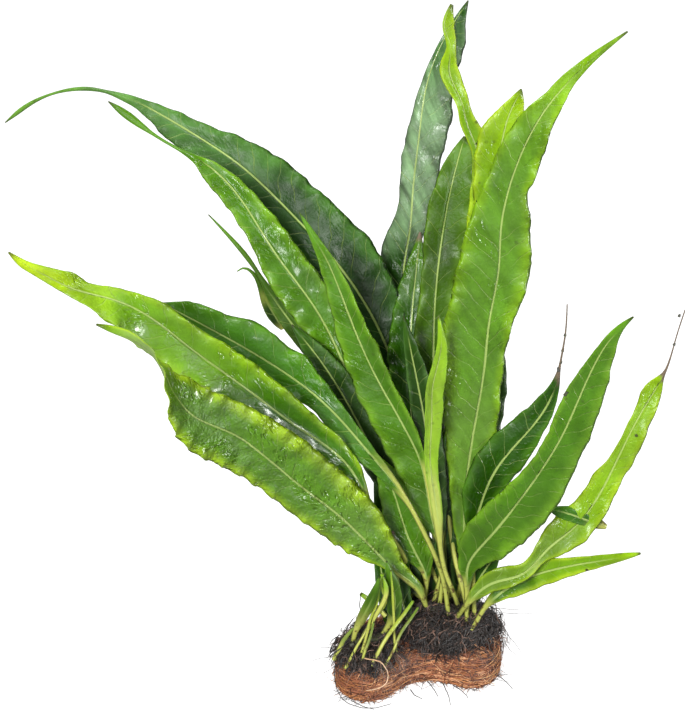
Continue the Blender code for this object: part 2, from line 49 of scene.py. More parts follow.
# helpers for node trees
class Field:  # a socket that can be added, multiplied and so on
    def __init__(self, socket):
        self.socket = socket

    def maths(self, operation, *others, first=False):
        return maths(operation, *((*others, self) if first else (self, *others)))

    def __add__(self, other):
        return self.maths("ADD", other)

    def __sub__(self, other):
        return self.maths("SUBTRACT", other)

    def __rsub__(self, other):
        return self.maths("SUBTRACT", other, first=True)

    def __mul__(self, other):
        return self.maths("MULTIPLY", other)

    def __truediv__(self, other):
        return self.maths("DIVIDE", other)

    def __rtruediv__(self, other):
        return self.maths("DIVIDE", other, first=True)

    def __pow__(self, other):
        return self.maths("POWER", other)

    __radd__ = __add__
    __rmul__ = __mul__

    def sine(self):
        return self.maths("SINE")

    def size(self):
        return self.maths("ABSOLUTE")

    def most(self, other):
        return self.maths("MAXIMUM", other)

    def least(self, other):
        return self.maths("MINIMUM", other)

    def held(self, low=0.0, high=1.0):
        return self.most(low).least(high)

    def ramp(self, low, high):  # 0 below low, 1 above high, smooth between
        return Field(
            place(
                self.socket.id_data, "ShaderNodeMapRange",
                {"Value": self, "From Min": low, "From Max": high},
                interpolation_type="SMOOTHSTEP",
            ).outputs["Result"]
        )

    def scaled(self, factor):  # a vector times a number
        node = place(self.socket.id_data, "ShaderNodeVectorMath", {0: self}, operation="SCALE")
        join(node.inputs["Scale"], factor)
        return Field(node.outputs["Vector"])

    def parts(self):
        node = place(self.socket.id_data, "ShaderNodeSeparateXYZ", {0: self})
        return [Field(socket) for socket in node.outputs]


def join(socket, value):
    value = value.socket if isinstance(value, Field) else value
    if isinstance(value, bpy.types.NodeSocket):
        socket.id_data.links.new(value, socket)
    else:
        socket.default_value = value


def place(tree, kind, inputs=None, **settings):
    node = tree.nodes.new(kind)
    for name, value in settings.items():
        setattr(node, name, value)
    for name, value in (inputs or {}).items():
        join(node.inputs[name], value)
    return node


def maths(operation, *values):
    field = next(value for value in values if isinstance(value, Field))
    onVectors = field.socket.type == "VECTOR"
    kind = "ShaderNodeVectorMath" if onVectors else "ShaderNodeMath"
    if onVectors:
        values = [(value,) * 3 if isinstance(value, (int, float)) else value for value in values]
    node = place(field.socket.id_data, kind, dict(enumerate(values)), operation=operation)
    gives = "Vector" if onVectors and operation not in ("DOT_PRODUCT", "LENGTH") else "Value"
    return Field(node.outputs[gives])


def vector(tree, x=0.0, y=0.0, z=0.0):
    return Field(place(tree, "ShaderNodeCombineXYZ", {0: x, 1: y, 2: z}).outputs[0])


def wander(where, scale=1.0, detail=1.0):  # smooth noise, about -1 to 1
    node = place(
        where.socket.id_data, "ShaderNodeTexNoise",
        {"Vector": where, "Scale": scale, "Detail": detail},
    )
    return (Field(node.outputs[0]) - 0.5) * 2.6


def mixed(factor, a, b):
    return a + (b - a) * factor


# helpers for geometry trees
def startTree(name, inputs):
    tree = bpy.data.node_groups.new(name, "GeometryNodeTree")
    sockets = {float: "NodeSocketFloat", int: "NodeSocketInt", str: "NodeSocketMaterial"}
    tree.interface.new_socket("Geometry", in_out="INPUT", socket_type="NodeSocketGeometry")
    for label, value in inputs.items():
        made = tree.interface.new_socket(label, in_out="INPUT", socket_type=sockets[type(value)])
        if not isinstance(value, str):
            made.default_value = value
    tree.interface.new_socket("Geometry", in_out="OUTPUT", socket_type="NodeSocketGeometry")
    entry = tree.nodes.new("NodeGroupInput")
    return tree, {socket.name: Field(socket) for socket in entry.outputs if socket.name}


def endTree(tree, geometry, material):
    # millimetres to metres, smooth, realised and with its material
    size = place(tree, "GeometryNodeInputPosition").outputs[0]
    geometry = place(
        tree, "GeometryNodeSetPosition",
        {"Geometry": geometry, "Position": Field(size).scaled(mm)},
    ).outputs[0]
    geometry = place(tree, "GeometryNodeSetShadeSmooth", {"Geometry": geometry}).outputs[0]
    geometry = place(tree, "GeometryNodeRealizeInstances", {"Geometry": geometry}).outputs[0]
    geometry = place(
        tree, "GeometryNodeSetMaterial", {"Geometry": geometry, "Material": material}
    ).outputs[0]
    place(tree, "NodeGroupOutput", {"Geometry": geometry})


def capture(tree, geometry, domain, **fields):
    node = tree.nodes.new("GeometryNodeCaptureAttribute")
    node.domain = domain
    for name, field in fields.items():
        node.capture_items.new("VECTOR" if field.socket.type == "VECTOR" else "FLOAT", name)
        join(node.inputs[name], field)
    join(node.inputs["Geometry"], geometry)
    return [Field(node.outputs["Geometry"])] + [Field(node.outputs[name]) for name in fields]


def store(tree, geometry, name, value, kind="FLOAT_VECTOR"):
    node = place(
        tree, "GeometryNodeStoreNamedAttribute",
        {"Geometry": geometry, "Name": name}, data_type=kind, domain="POINT",
    )
    entry = next(socket for socket in node.inputs if socket.name == "Value" and socket.enabled)
    join(entry, value)
    return Field(node.outputs[0])


def named(tree, name, kind="FLOAT"):
    node = place(tree, "GeometryNodeInputNamedAttribute", {"Name": name}, data_type=kind)
    return Field(next(socket for socket in node.outputs if socket.enabled))


def randomFor(tree, identity, seed, low=0.0, high=1.0):
    node = tree.nodes.new("FunctionNodeRandomValue")
    values = {"Min_001": low, "Max_001": high, "ID": identity, "Seed": seed}
    for socket in node.inputs:
        if socket.identifier in values:
            join(socket, values[socket.identifier])
    return Field(next(socket for socket in node.outputs if socket.identifier == "Value_001"))


def guideMesh(name, lines, closed=False, **attributes):
    # one mesh of open or closed lines of points, in millimetres, with a number at each point
    points = [point for line in lines for point in line]
    edges = []
    start = 0
    for line in lines:
        edges += [(start + i, start + i + 1) for i in range(len(line) - 1)]
        if closed:
            edges.append((start + len(line) - 1, start))
        start += len(line)
    mesh = bpy.data.meshes.new(name)
    mesh.from_pydata([tuple(map(float, point)) for point in points], edges, [])
    for label, values in attributes.items():
        mesh.attributes.new(label, "FLOAT", "POINT").data.foreach_set("value", np.float32(values))
    return mesh


def grow(name, mesh, tree, values):
    # a plain mesh object from the tree's result on that mesh
    guide = bpy.data.objects.new(name + "Guide", mesh)
    modifier = guide.modifiers.new("grow", "NODES")
    modifier.node_group = tree
    for item in tree.interface.items_tree:
        if item.in_out == "INPUT" and item.name in values:
            modifier[item.identifier] = values[item.name]
    bpy.context.scene.collection.objects.link(guide)
    graph = bpy.context.evaluated_depsgraph_get()
    made = bpy.data.meshes.new_from_object(
        guide.evaluated_get(graph), preserve_all_data_layers=True, depsgraph=graph
    )
    bpy.data.objects.remove(guide)
    bpy.data.meshes.remove(mesh)
    return addPiece(name, made)


def addPiece(name, mesh):
    mesh.name = name
    item = bpy.data.objects.new(name, mesh)
    bpy.context.scene.collection.objects.link(item)
    return item


def settle(piece, slotName, *nodes):
    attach(piece, "root")
    if nodes:
        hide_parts(*nodes)


# shader helpers
def startGroup(name, colours, numbers, outputs):
    tree = bpy.data.node_groups.new(name, "ShaderNodeTree")
    for label, value in {**colours, **numbers}.items():
        kind = "NodeSocketFloat" if label in numbers else "NodeSocketColor"
        socket = tree.interface.new_socket(label, in_out="INPUT", socket_type=kind)
        socket.default_value = value if label in numbers else (*value, 1)
    for label in outputs:
        kind = "NodeSocketColor" if label == "Color" else "NodeSocketFloat"
        tree.interface.new_socket(label, in_out="OUTPUT", socket_type=kind)
    entry = tree.nodes.new("NodeGroupInput")
    return tree, {socket.name: Field(socket) for socket in entry.outputs if socket.name}


def tinted(factor, a, b, how="MIX"):  # two colours mixed
    tree = next(value for value in (factor, a) if isinstance(value, Field)).socket.id_data
    node = place(tree, "ShaderNodeMix", data_type="RGBA", blend_type=how)
    values = {"Factor_Float": factor, "A_Color": a, "B_Color": b}
    for socket in node.inputs:
        if socket.identifier in values:
            join(socket, values[socket.identifier])
    return Field(next(socket for socket in node.outputs if socket.identifier == "Result_Color"))


def attribute(tree, name, output="Vector"):
    return Field(place(tree, "ShaderNodeAttribute", attribute_name=name).outputs[output])


def ownPlace(tree):
    return Field(tree.nodes.new("ShaderNodeTexCoord").outputs["Object"])


def spread(where, scale, detail=2.0):  # noise from 0 to 1
    return (wander(where, scale, detail) * 0.5 + 0.5).held()


def finishMaterial(name, group, values, bump, **constants):
    # the group's outputs go to the shader's sockets of the same name; Height goes through a Bump
    material = bpy.data.materials.new(name)
    material.use_nodes = True
    tree = material.node_tree
    shader = tree.nodes["Principled BSDF"]
    node = place(tree, "ShaderNodeGroup", node_tree=group)
    for label, value in values.items():
        node.inputs[label].default_value = (*value, 1) if isinstance(value, tuple) else value
    for label, value in constants.items():
        shader.inputs[label].default_value = value
    goesTo = {"Color": "Base Color", "Roughness": "Roughness", "Coat": "Coat Weight"}
    for output in node.outputs:
        if output.name in goesTo:
            tree.links.new(output, shader.inputs[goesTo[output.name]])
    relief = place(
        tree, "ShaderNodeBump",
        {"Height": node.outputs["Height"], "Strength": bump["strength"],
         "Distance": bump["depth"]},
    )
    if "film" in bump:
        relief = place(
            tree, "ShaderNodeBump",
            {"Height": node.outputs["Film"], "Strength": 1.0, "Distance": bump["film"],
             "Normal": relief.outputs["Normal"]},
        )
    tree.links.new(relief.outputs["Normal"], shader.inputs["Normal"])
    return material


# fronds
veins = dict(gap=6.0, slope=1.0, stray=2.2, long=3.9, wide=2.9)
beadSize = (2.6, 1.6)
wetPatch = dict(size=75, dry=0.44, wet=0.60, rough=0.16, coat=0.2)  # coat is a share of wetness

tones = {
    # low: the colour towards a frond's base; where it is darker than base it is painted shade
    # margin: a lighter rim colour, painted light shining through and catching on the thin leaf
    # edge
    "bright": dict(
        base=(0.095, 0.235, 0.012), low=(0.12, 0.26, 0.024), tip=(0.18, 0.36, 0.006),
        margin=(0.2, 0.38, 0.006), under=(0.24, 0.34, 0.12), wet=0.9, film=1.0, streaks=0.3,
    ),
    "glossy": dict(
        base=(0.095, 0.235, 0.012), low=(0.12, 0.26, 0.024), tip=(0.18, 0.36, 0.006),
        margin=(0.34, 0.52, 0.012), under=(0.24, 0.34, 0.12), wet=0.9, film=2.4, streaks=0.3,
    ),
    "sunny": dict(
        base=(0.2, 0.38, 0.006), low=(0.13, 0.25, 0.010), tip=(0.30, 0.48, 0.008),
        margin=(0.30, 0.46, 0.012), under=(0.26, 0.38, 0.08), wet=0.7, film=0.9,
        thread=1.0, specks=1.0,
    ),
    "lime": dict(
        base=(0.15, 0.31, 0.004), low=(0.05, 0.14, 0.004), tip=(0.24, 0.42, 0.006),
        margin=(0.36, 0.52, 0.014), under=(0.26, 0.40, 0.08), wet=0.6, film=0.6, specks=1.0,
    ),
    "yellowTip": dict(
        base=(0.15, 0.34, 0.012), low=(0.05, 0.16, 0.005), tip=(0.42, 0.60, 0.006),
        margin=(0.24, 0.42, 0.010), under=(0.24, 0.38, 0.10), wet=1.0, film=1.2, turned=0.5,
    ),
    "fresh": dict(
        base=(0.062, 0.18, 0.005), low=(0.06, 0.165, 0.004), tip=(0.09, 0.24, 0.008),
        margin=(0.15, 0.32, 0.014), under=(0.20, 0.30, 0.10), wet=0.9, film=1.0,
    ),
    "deep": dict(
        base=(0.040, 0.155, 0.002), low=(0.045, 0.15, 0.003), tip=(0.06, 0.20, 0.004),
        margin=(0.08, 0.22, 0.010), under=(0.12, 0.22, 0.06), wet=0.6, film=0.9,
    ),
    # near-black green; on the filling shade fronds it is painted shade
    "dark": dict(
        base=(0.018, 0.075, 0.001), low=(0.012, 0.050, 0.001), tip=(0.06, 0.16, 0.006),
        margin=(0.06, 0.17, 0.008), under=(0.10, 0.18, 0.05), wet=0.8, film=0.9, thread=1.0,
    ),
    "blue": dict(
        base=(0.062, 0.165, 0.030), low=(0.012, 0.050, 0.003), tip=(0.13, 0.30, 0.030),
        margin=(0.06, 0.17, 0.020), under=(0.14, 0.24, 0.08), wet=0.2, film=0.5,
        turned=0.62, streaks=0.3,
    ),
    # pale grey-green: the paler underside plus a painted sheen; the dark low part is painted shade
    "silver": dict(
        base=(0.165, 0.275, 0.130), low=(0.010, 0.045, 0.001), tip=(0.030, 0.12, 0.006),
        margin=(0.1, 0.16, 0.08), under=(0.16, 0.25, 0.12), wet=0.5, film=0.3,
        turned=0.58, streaks=0.8,
    ),
    "olive": dict(
        base=(0.04, 0.105, 0.001), low=(0.016, 0.05, 0.001), tip=(0.08, 0.20, 0.006),
        margin=(0.09, 0.19, 0.012), under=(0.14, 0.22, 0.06), wet=0.15, film=0.25,
    ),
    # painted shade: near-black green for fronds deep inside the clump and for the filling fronds
    "shade": dict(
        base=(0.014, 0.052, 0.001), low=(0.007, 0.026, 0.001), tip=(0.03, 0.095, 0.003),
        margin=(0.07, 0.16, 0.030), under=(0.08, 0.15, 0.04), wet=0.35, film=0.4,
    ),
    "flap": dict(
        base=(0.035, 0.13, 0.004), low=(0.05, 0.07, 0.006), tip=(0.05, 0.17, 0.006),
        margin=(0.07, 0.20, 0.010), under=(0.12, 0.22, 0.06), wet=0.5, film=0.5, turned=0.2,
    ),
    "stem": dict(
        base=(0.36, 0.44, 0.05), low=(0.42, 0.42, 0.1), tip=(0.22, 0.38, 0.030),
        margin=(0.34, 0.47, 0.070), under=(0.34, 0.47, 0.070), wet=0.6, film=0.0,
    ),
    "stemDull": dict(
        base=(0.19, 0.25, 0.045), low=(0.17, 0.16, 0.06), tip=(0.16, 0.26, 0.030),
        margin=(0.19, 0.25, 0.045), under=(0.19, 0.25, 0.045), wet=0.4, film=0.0,
    ),
    "strap": dict(
        base=(0.27, 0.46, 0.030), low=(0.40, 0.48, 0.10), tip=(0.26, 0.48, 0.012),
        margin=(0.22, 0.42, 0.020), under=(0.30, 0.42, 0.10), wet=0.5, film=0.5,
    ),
}


def makeLeafGroup():
    tree, given = startGroup(
        "leafSurface",
        dict(
            Base=(0.1, 0.3, 0.02), Low=(0.1, 0.3, 0.02), Tip=(0.1, 0.3, 0.02),
            Margin=(0.1, 0.3, 0.02), Under=(0.2, 0.3, 0.1), Rib=(0.38, 0.50, 0.14),
            Stalk=(0.46, 0.49, 0.10), Speck=(0.03, 0.03, 0.008),
        ),
        dict(Wetness=0.7, Veins=0.32, Specks=0.5, Turned=0.4, Film=0.8, Thread=0.0, Streaks=0.12),
        ["Color", "Roughness", "Coat", "Height", "Film"],
    )
    along, edge, under = attribute(tree, "leafShare").parts()
    distance, across, half = attribute(tree, "leafPlace").parts()
    where = ownPlace(tree)
    flat = vector(tree, distance, across)
    side = across.maths("GREATER_THAN", 0)
    patch = wander(where, 70, 3)
    fine = wander(where, 420, 2)

    # side veins slope towards the tip, and pillows fill the cells between them
    slant = distance - across.size() * veins["slope"] + wander(flat, 0.12) * veins["stray"]
    turn = slant / veins["gap"] + side * 0.5
    vein = (((turn.maths("FRACT")) - 0.5).size() * 2).ramp(0.90, 0.99)
    blade = half.ramp(1.3, 3.0)
    ribWide = mixed(along, 0.52, 0.26)
    rib = (1 - (across.size() / ribWide).ramp(0.5, 1.2)) * blade
    vein = vein * blade * (1 - rib) * spread(where, 110).ramp(0.25, 0.7)

    # painted shade: each frond turns from Low near its base to Base further out; in most tones Low
    # is darker and paints the shade that falls on the inner, lower parts of the fronds
    turned = ((along + patch * 0.05) / given["Turned"]).ramp(0.68, 1.0)
    colour = tinted(turned, given["Low"], given["Base"])
    colour = tinted((along + patch * 0.05).ramp(0.70, 0.99), colour, given["Tip"])
    # painted light: the lighter margin colour along the blade's rim stands for light shining
    # through the thin edge and catching on it
    rim = (edge + patch * 0.2 + side * 0.10).ramp(0.55, 1.05)
    colour = tinted(rim * 0.8, colour, given["Margin"])
    streak = wander(vector(tree, distance * 0.05, (across + distance * 0.6) * 0.30), 1.0, 3)
    light = 0.90 + patch * 0.40 + fine * 0.05 + streak * given["Streaks"]
    colour = tinted(1.0, colour, grey(tree, light), "MULTIPLY")
    colour = tinted(vein * given["Veins"], colour, given["Rib"])
    colour = tinted(under * 0.7, colour, given["Under"])
    colour = tinted(rib * 0.75, colour, given["Rib"])
    burnt = along.ramp(0.975, 1.0) * 0.8
    colour = tinted(burnt, colour, given["Speck"])
    thread = (1 - half.ramp(0.7, 1.6)) * along.ramp(0.6, 0.75) * given["Thread"]
    colour = tinted(thread, colour, (0.15, 0.11, 0.075, 1))
    stalk = (1 - half.ramp(1.0, 2.4)) * (1 - along.ramp(0.3, 0.6))
    colour = tinted(stalk * 0.9, colour, given["Stalk"])
    flank = stalk * (across.size() / half.most(0.3)).ramp(0.50, 0.95)
    colour = tinted(flank * 0.8, colour, (0.055, 0.065, 0.012, 1))
    browned = stalk * spread(where, 500, 3).ramp(0.55, 0.75) * (1 - (distance / 45).ramp(0.2, 1))
    colour = tinted(browned, colour, (0.075, 0.032, 0.016, 1))
    dots = place(tree, "ShaderNodeTexVoronoi", {"Vector": where, "Scale": 260.0}, feature="F1")
    dot = 1 - Field(dots.outputs["Distance"]).ramp(0.10, 0.22)
    dot = dot * spread(where, 60, 3).ramp(0.45, 0.7) * given["Specks"]
    colour = tinted(dot, colour, given["Speck"])

    damp = spread(where, 85, 3)
    rough = mixed(damp, 0.52, 0.38) + under * 0.1
    coat = damp.ramp(0.25, 0.75) * given["Wetness"] * (1 - under * 0.5) * wetPatch["coat"]
    height = vein * 0.25 + fine * 0.05 + wander(flat, 0.9, 2) * 0.12 + rib * 0.5

    # the wet film: small beads in rows, in patches
    beads = place(
        tree, "ShaderNodeTexVoronoi",
        {"Vector": vector(tree, slant / beadSize[0], across / beadSize[1]), "Scale": 1.0,
         "Randomness": 0.9},
        feature="F1",
    )
    bead = (1 - (Field(beads.outputs["Distance"]) / 0.5) ** 2.0).most(0)
    damper = spread(where, wetPatch["size"], 2).ramp(wetPatch["dry"], wetPatch["wet"])
    film = bead * damper + wander(flat, 0.8, 2) * 0.30
    film = film * given["Film"] * blade * (1 - under)
    rough = mixed(damper * given["Wetness"] * (1 - under), rough, wetPatch["rough"])
    place(
        tree, "NodeGroupOutput",
        {"Color": colour, "Roughness": rough, "Coat": coat, "Height": height, "Film": film},
    )
    return tree


def grey(tree, value):
    node = place(tree, "ShaderNodeCombineColor", {0: value, 1: value, 2: value})
    return Field(node.outputs[0])


def makeFrondTree():
    tree, given = startTree("frondBlade", {
        "Stalk Share": 0.25, "Fold": 10.0, "Ruffle Height": 1.0, "Ruffle Length": 12.0,
        "Scallop": 0.5, "Quilt Depth": 0.15, "Cup": 0.08, "Ring Step": 0.75, "Sides": 44,
        "Seed": 1.0, "Material": "",
    })
    curve = place(tree, "GeometryNodeMeshToCurve", {"Mesh": given["Geometry"]}).outputs[0]
    curve = place(
        tree, "GeometryNodeResampleCurve", {"Curve": curve, "Length": given["Ring Step"]},
        mode="LENGTH",
    ).outputs[0]
    spline = tree.nodes.new("GeometryNodeSplineParameter")
    curve, share, distance, middle, forward, turn, leftWide, rightWide = capture(
        tree, curve, "POINT",
        share=Field(spline.outputs["Factor"]), distance=Field(spline.outputs["Length"]),
        middle=Field(tree.nodes.new("GeometryNodeInputPosition").outputs[0]),
        forward=Field(tree.nodes.new("GeometryNodeInputTangent").outputs[0]),
        turn=named(tree, "turn"), leftWide=named(tree, "leftWide"),
        rightWide=named(tree, "rightWide"),
    )
    ring = place(tree, "GeometryNodeCurvePrimitiveCircle", {"Resolution": given["Sides"]})
    ringPlace = tree.nodes.new("GeometryNodeSplineParameter")
    ring, around = capture(
        tree, ring.outputs[0], "POINT", around=Field(ringPlace.outputs["Factor"])
    )
    body = place(
        tree, "GeometryNodeCurveToMesh",
        {"Curve": curve, "Profile Curve": ring, "Fill Caps": True},
    ).outputs[0]

    # where a point stands across the blade, -1 to 1, and whether on the upper or the under side
    angle = around * (2 * math.pi)
    raw = (around - 0.5).size() * 4 - 1
    sign = raw.maths("SIGN")
    right = raw.maths("GREATER_THAN", 0)
    stance = sign * raw.size() ** 1.25
    upper = angle.sine()
    seed = given["Seed"] * 7.3 + right * 3.1

    # the outline
    stalk = given["Stalk Share"]
    along = ((share - stalk) / (1 - stalk)).held()
    half = mixed(right, leftWide, rightWide)
    blade = ((leftWide.most(rightWide) - 1.0) / 2.0).held()

    # waves along the margin, which also scallop the outline
    pace = distance / given["Ruffle Length"]
    phase = (pace + wander(vector(tree, pace * 0.5, seed, 1.7)) * 0.22) * (2 * math.pi) + seed
    strength = 0.62 + wander(vector(tree, pace * 0.6, seed, 8.3)) * 0.38
    broad = (half / 6).held() * blade
    scallop = (phase + 1.2).sine() * 0.5 + wander(vector(tree, distance * 0.38, seed, 4.4)) * 1.1
    half = half + scallop * given["Scallop"] * broad * strength
    stand = stance.size()
    roundness = angle.maths("COSINE")
    side = mixed(blade, roundness, stance) * half
    crimp = wander(vector(tree, distance * 0.33, seed, 6.1)) * 0.8 * stand ** 4
    ruffle = (phase.sine() * strength * stand ** 2.2 + crimp) * given["Ruffle Height"] * broad

    # the blade's thickness, with the midrib standing proud
    ribPlace = (side / 0.62) * (side / 0.62)
    rib = (ribPlace * -1).maths("EXPONENT") * mixed(along, 0.30, 0.12)
    level = (rib + 0.17) * ((1 - stand) * 9).held()
    thick = mixed(blade, upper * half, upper.maths("SIGN") * level)

    # pillows between the side veins, and broad swells
    slant = distance - side.size() * veins["slope"]
    slant = slant + wander(vector(tree, distance, side), 0.12) * veins["stray"]
    cells = place(
        tree, "ShaderNodeTexVoronoi",
        {"Vector": vector(tree, slant / veins["long"], side / veins["wide"]), "Scale": 1.0,
         "Randomness": 0.85},
        feature="SMOOTH_F1",
    )
    pillow = 0.55 - Field(cells.outputs["Distance"])
    uneven = 0.75 + wander(vector(tree, distance * 0.12, side * 0.16, seed)) * 0.6
    hammer = wander(vector(tree, distance * 0.42, side * 0.55, seed + 5)) * 0.45
    relief = (pillow * 2.0 * uneven + hammer) * given["Quilt Depth"] * blade
    relief = relief * (side.size() / 1.6).held() * ((1 - stand) * 5).held()
    swell = wander(vector(tree, distance / 20, stance * 0.8, seed)) * 1.1 * broad

    soft = (side * side + 0.3).maths("SQRT") - 0.55
    lean = given["Fold"] * (math.pi / 180) * blade
    out = side * lean.maths("COSINE")
    lift = soft * lean.sine() + thick + ruffle + relief + swell
    lift = lift - given["Cup"] * half * stand ** 3 * blade

    facing = vector(tree, 0.0, -math.cos(math.radians(25)), math.sin(math.radians(25)))
    across = forward.maths("CROSS_PRODUCT", facing).maths("NORMALIZE")
    upwards = forward.maths("CROSS_PRODUCT", across)
    turned = turn * (math.pi / 180)
    across = across.scaled(turned.maths("COSINE")) + upwards.scaled(turned.sine())
    normal = across.maths("CROSS_PRODUCT", forward)
    spot = middle + across.scaled(out) + normal.scaled(lift)
    body = place(
        tree, "GeometryNodeSetPosition", {"Geometry": body, "Position": spot}
    ).outputs[0]
    below = (upper * -5).held() * blade
    body = store(tree, body, "leafShare", vector(tree, along, stand, below))
    body = store(tree, body, "leafPlace", vector(tree, distance, side, half))
    endTree(tree, body, given["Material"])
    return tree


def smoothRoute(rows, step):
    # evenly spaced rows on the natural cubic spline through the given rows
    rows = np.array(rows, float)
    lengths = np.linalg.norm(np.diff(rows[:, :3], axis=0), axis=1)
    knots = np.concatenate([[0], np.cumsum(lengths)])
    gaps = np.diff(knots)
    last = len(rows) - 1
    system = np.eye(last + 1)
    known = np.zeros_like(rows)
    for i in range(1, last):
        system[i, i - 1:i + 2] = gaps[i - 1], 2 * (gaps[i - 1] + gaps[i]), gaps[i]
        slopes = (rows[i + 1] - rows[i]) / gaps[i] - (rows[i] - rows[i - 1]) / gaps[i - 1]
        known[i] = 6 * slopes
    bend = np.linalg.solve(system, known)
    along = np.linspace(0, knots[-1], max(3, round(knots[-1] / step) + 1))
    span = np.clip(np.searchsorted(knots, along, side="right") - 1, 0, last - 1)
    gap = gaps[span][:, None]
    after = along[:, None] - knots[span][:, None]
    before = gap - after
    curved = (bend[span] * before**3 + bend[span + 1] * after**3) / (6 * gap)
    straight = (rows[span] / gap - bend[span] * gap / 6) * before
    straight += (rows[span + 1] / gap - bend[span + 1] * gap / 6) * after
    return curved + straight


# the shape of a frond that says nothing else
usualFrond = dict(fold=12, ruffle=0, wave=8, quilt=0, cup=0.1)

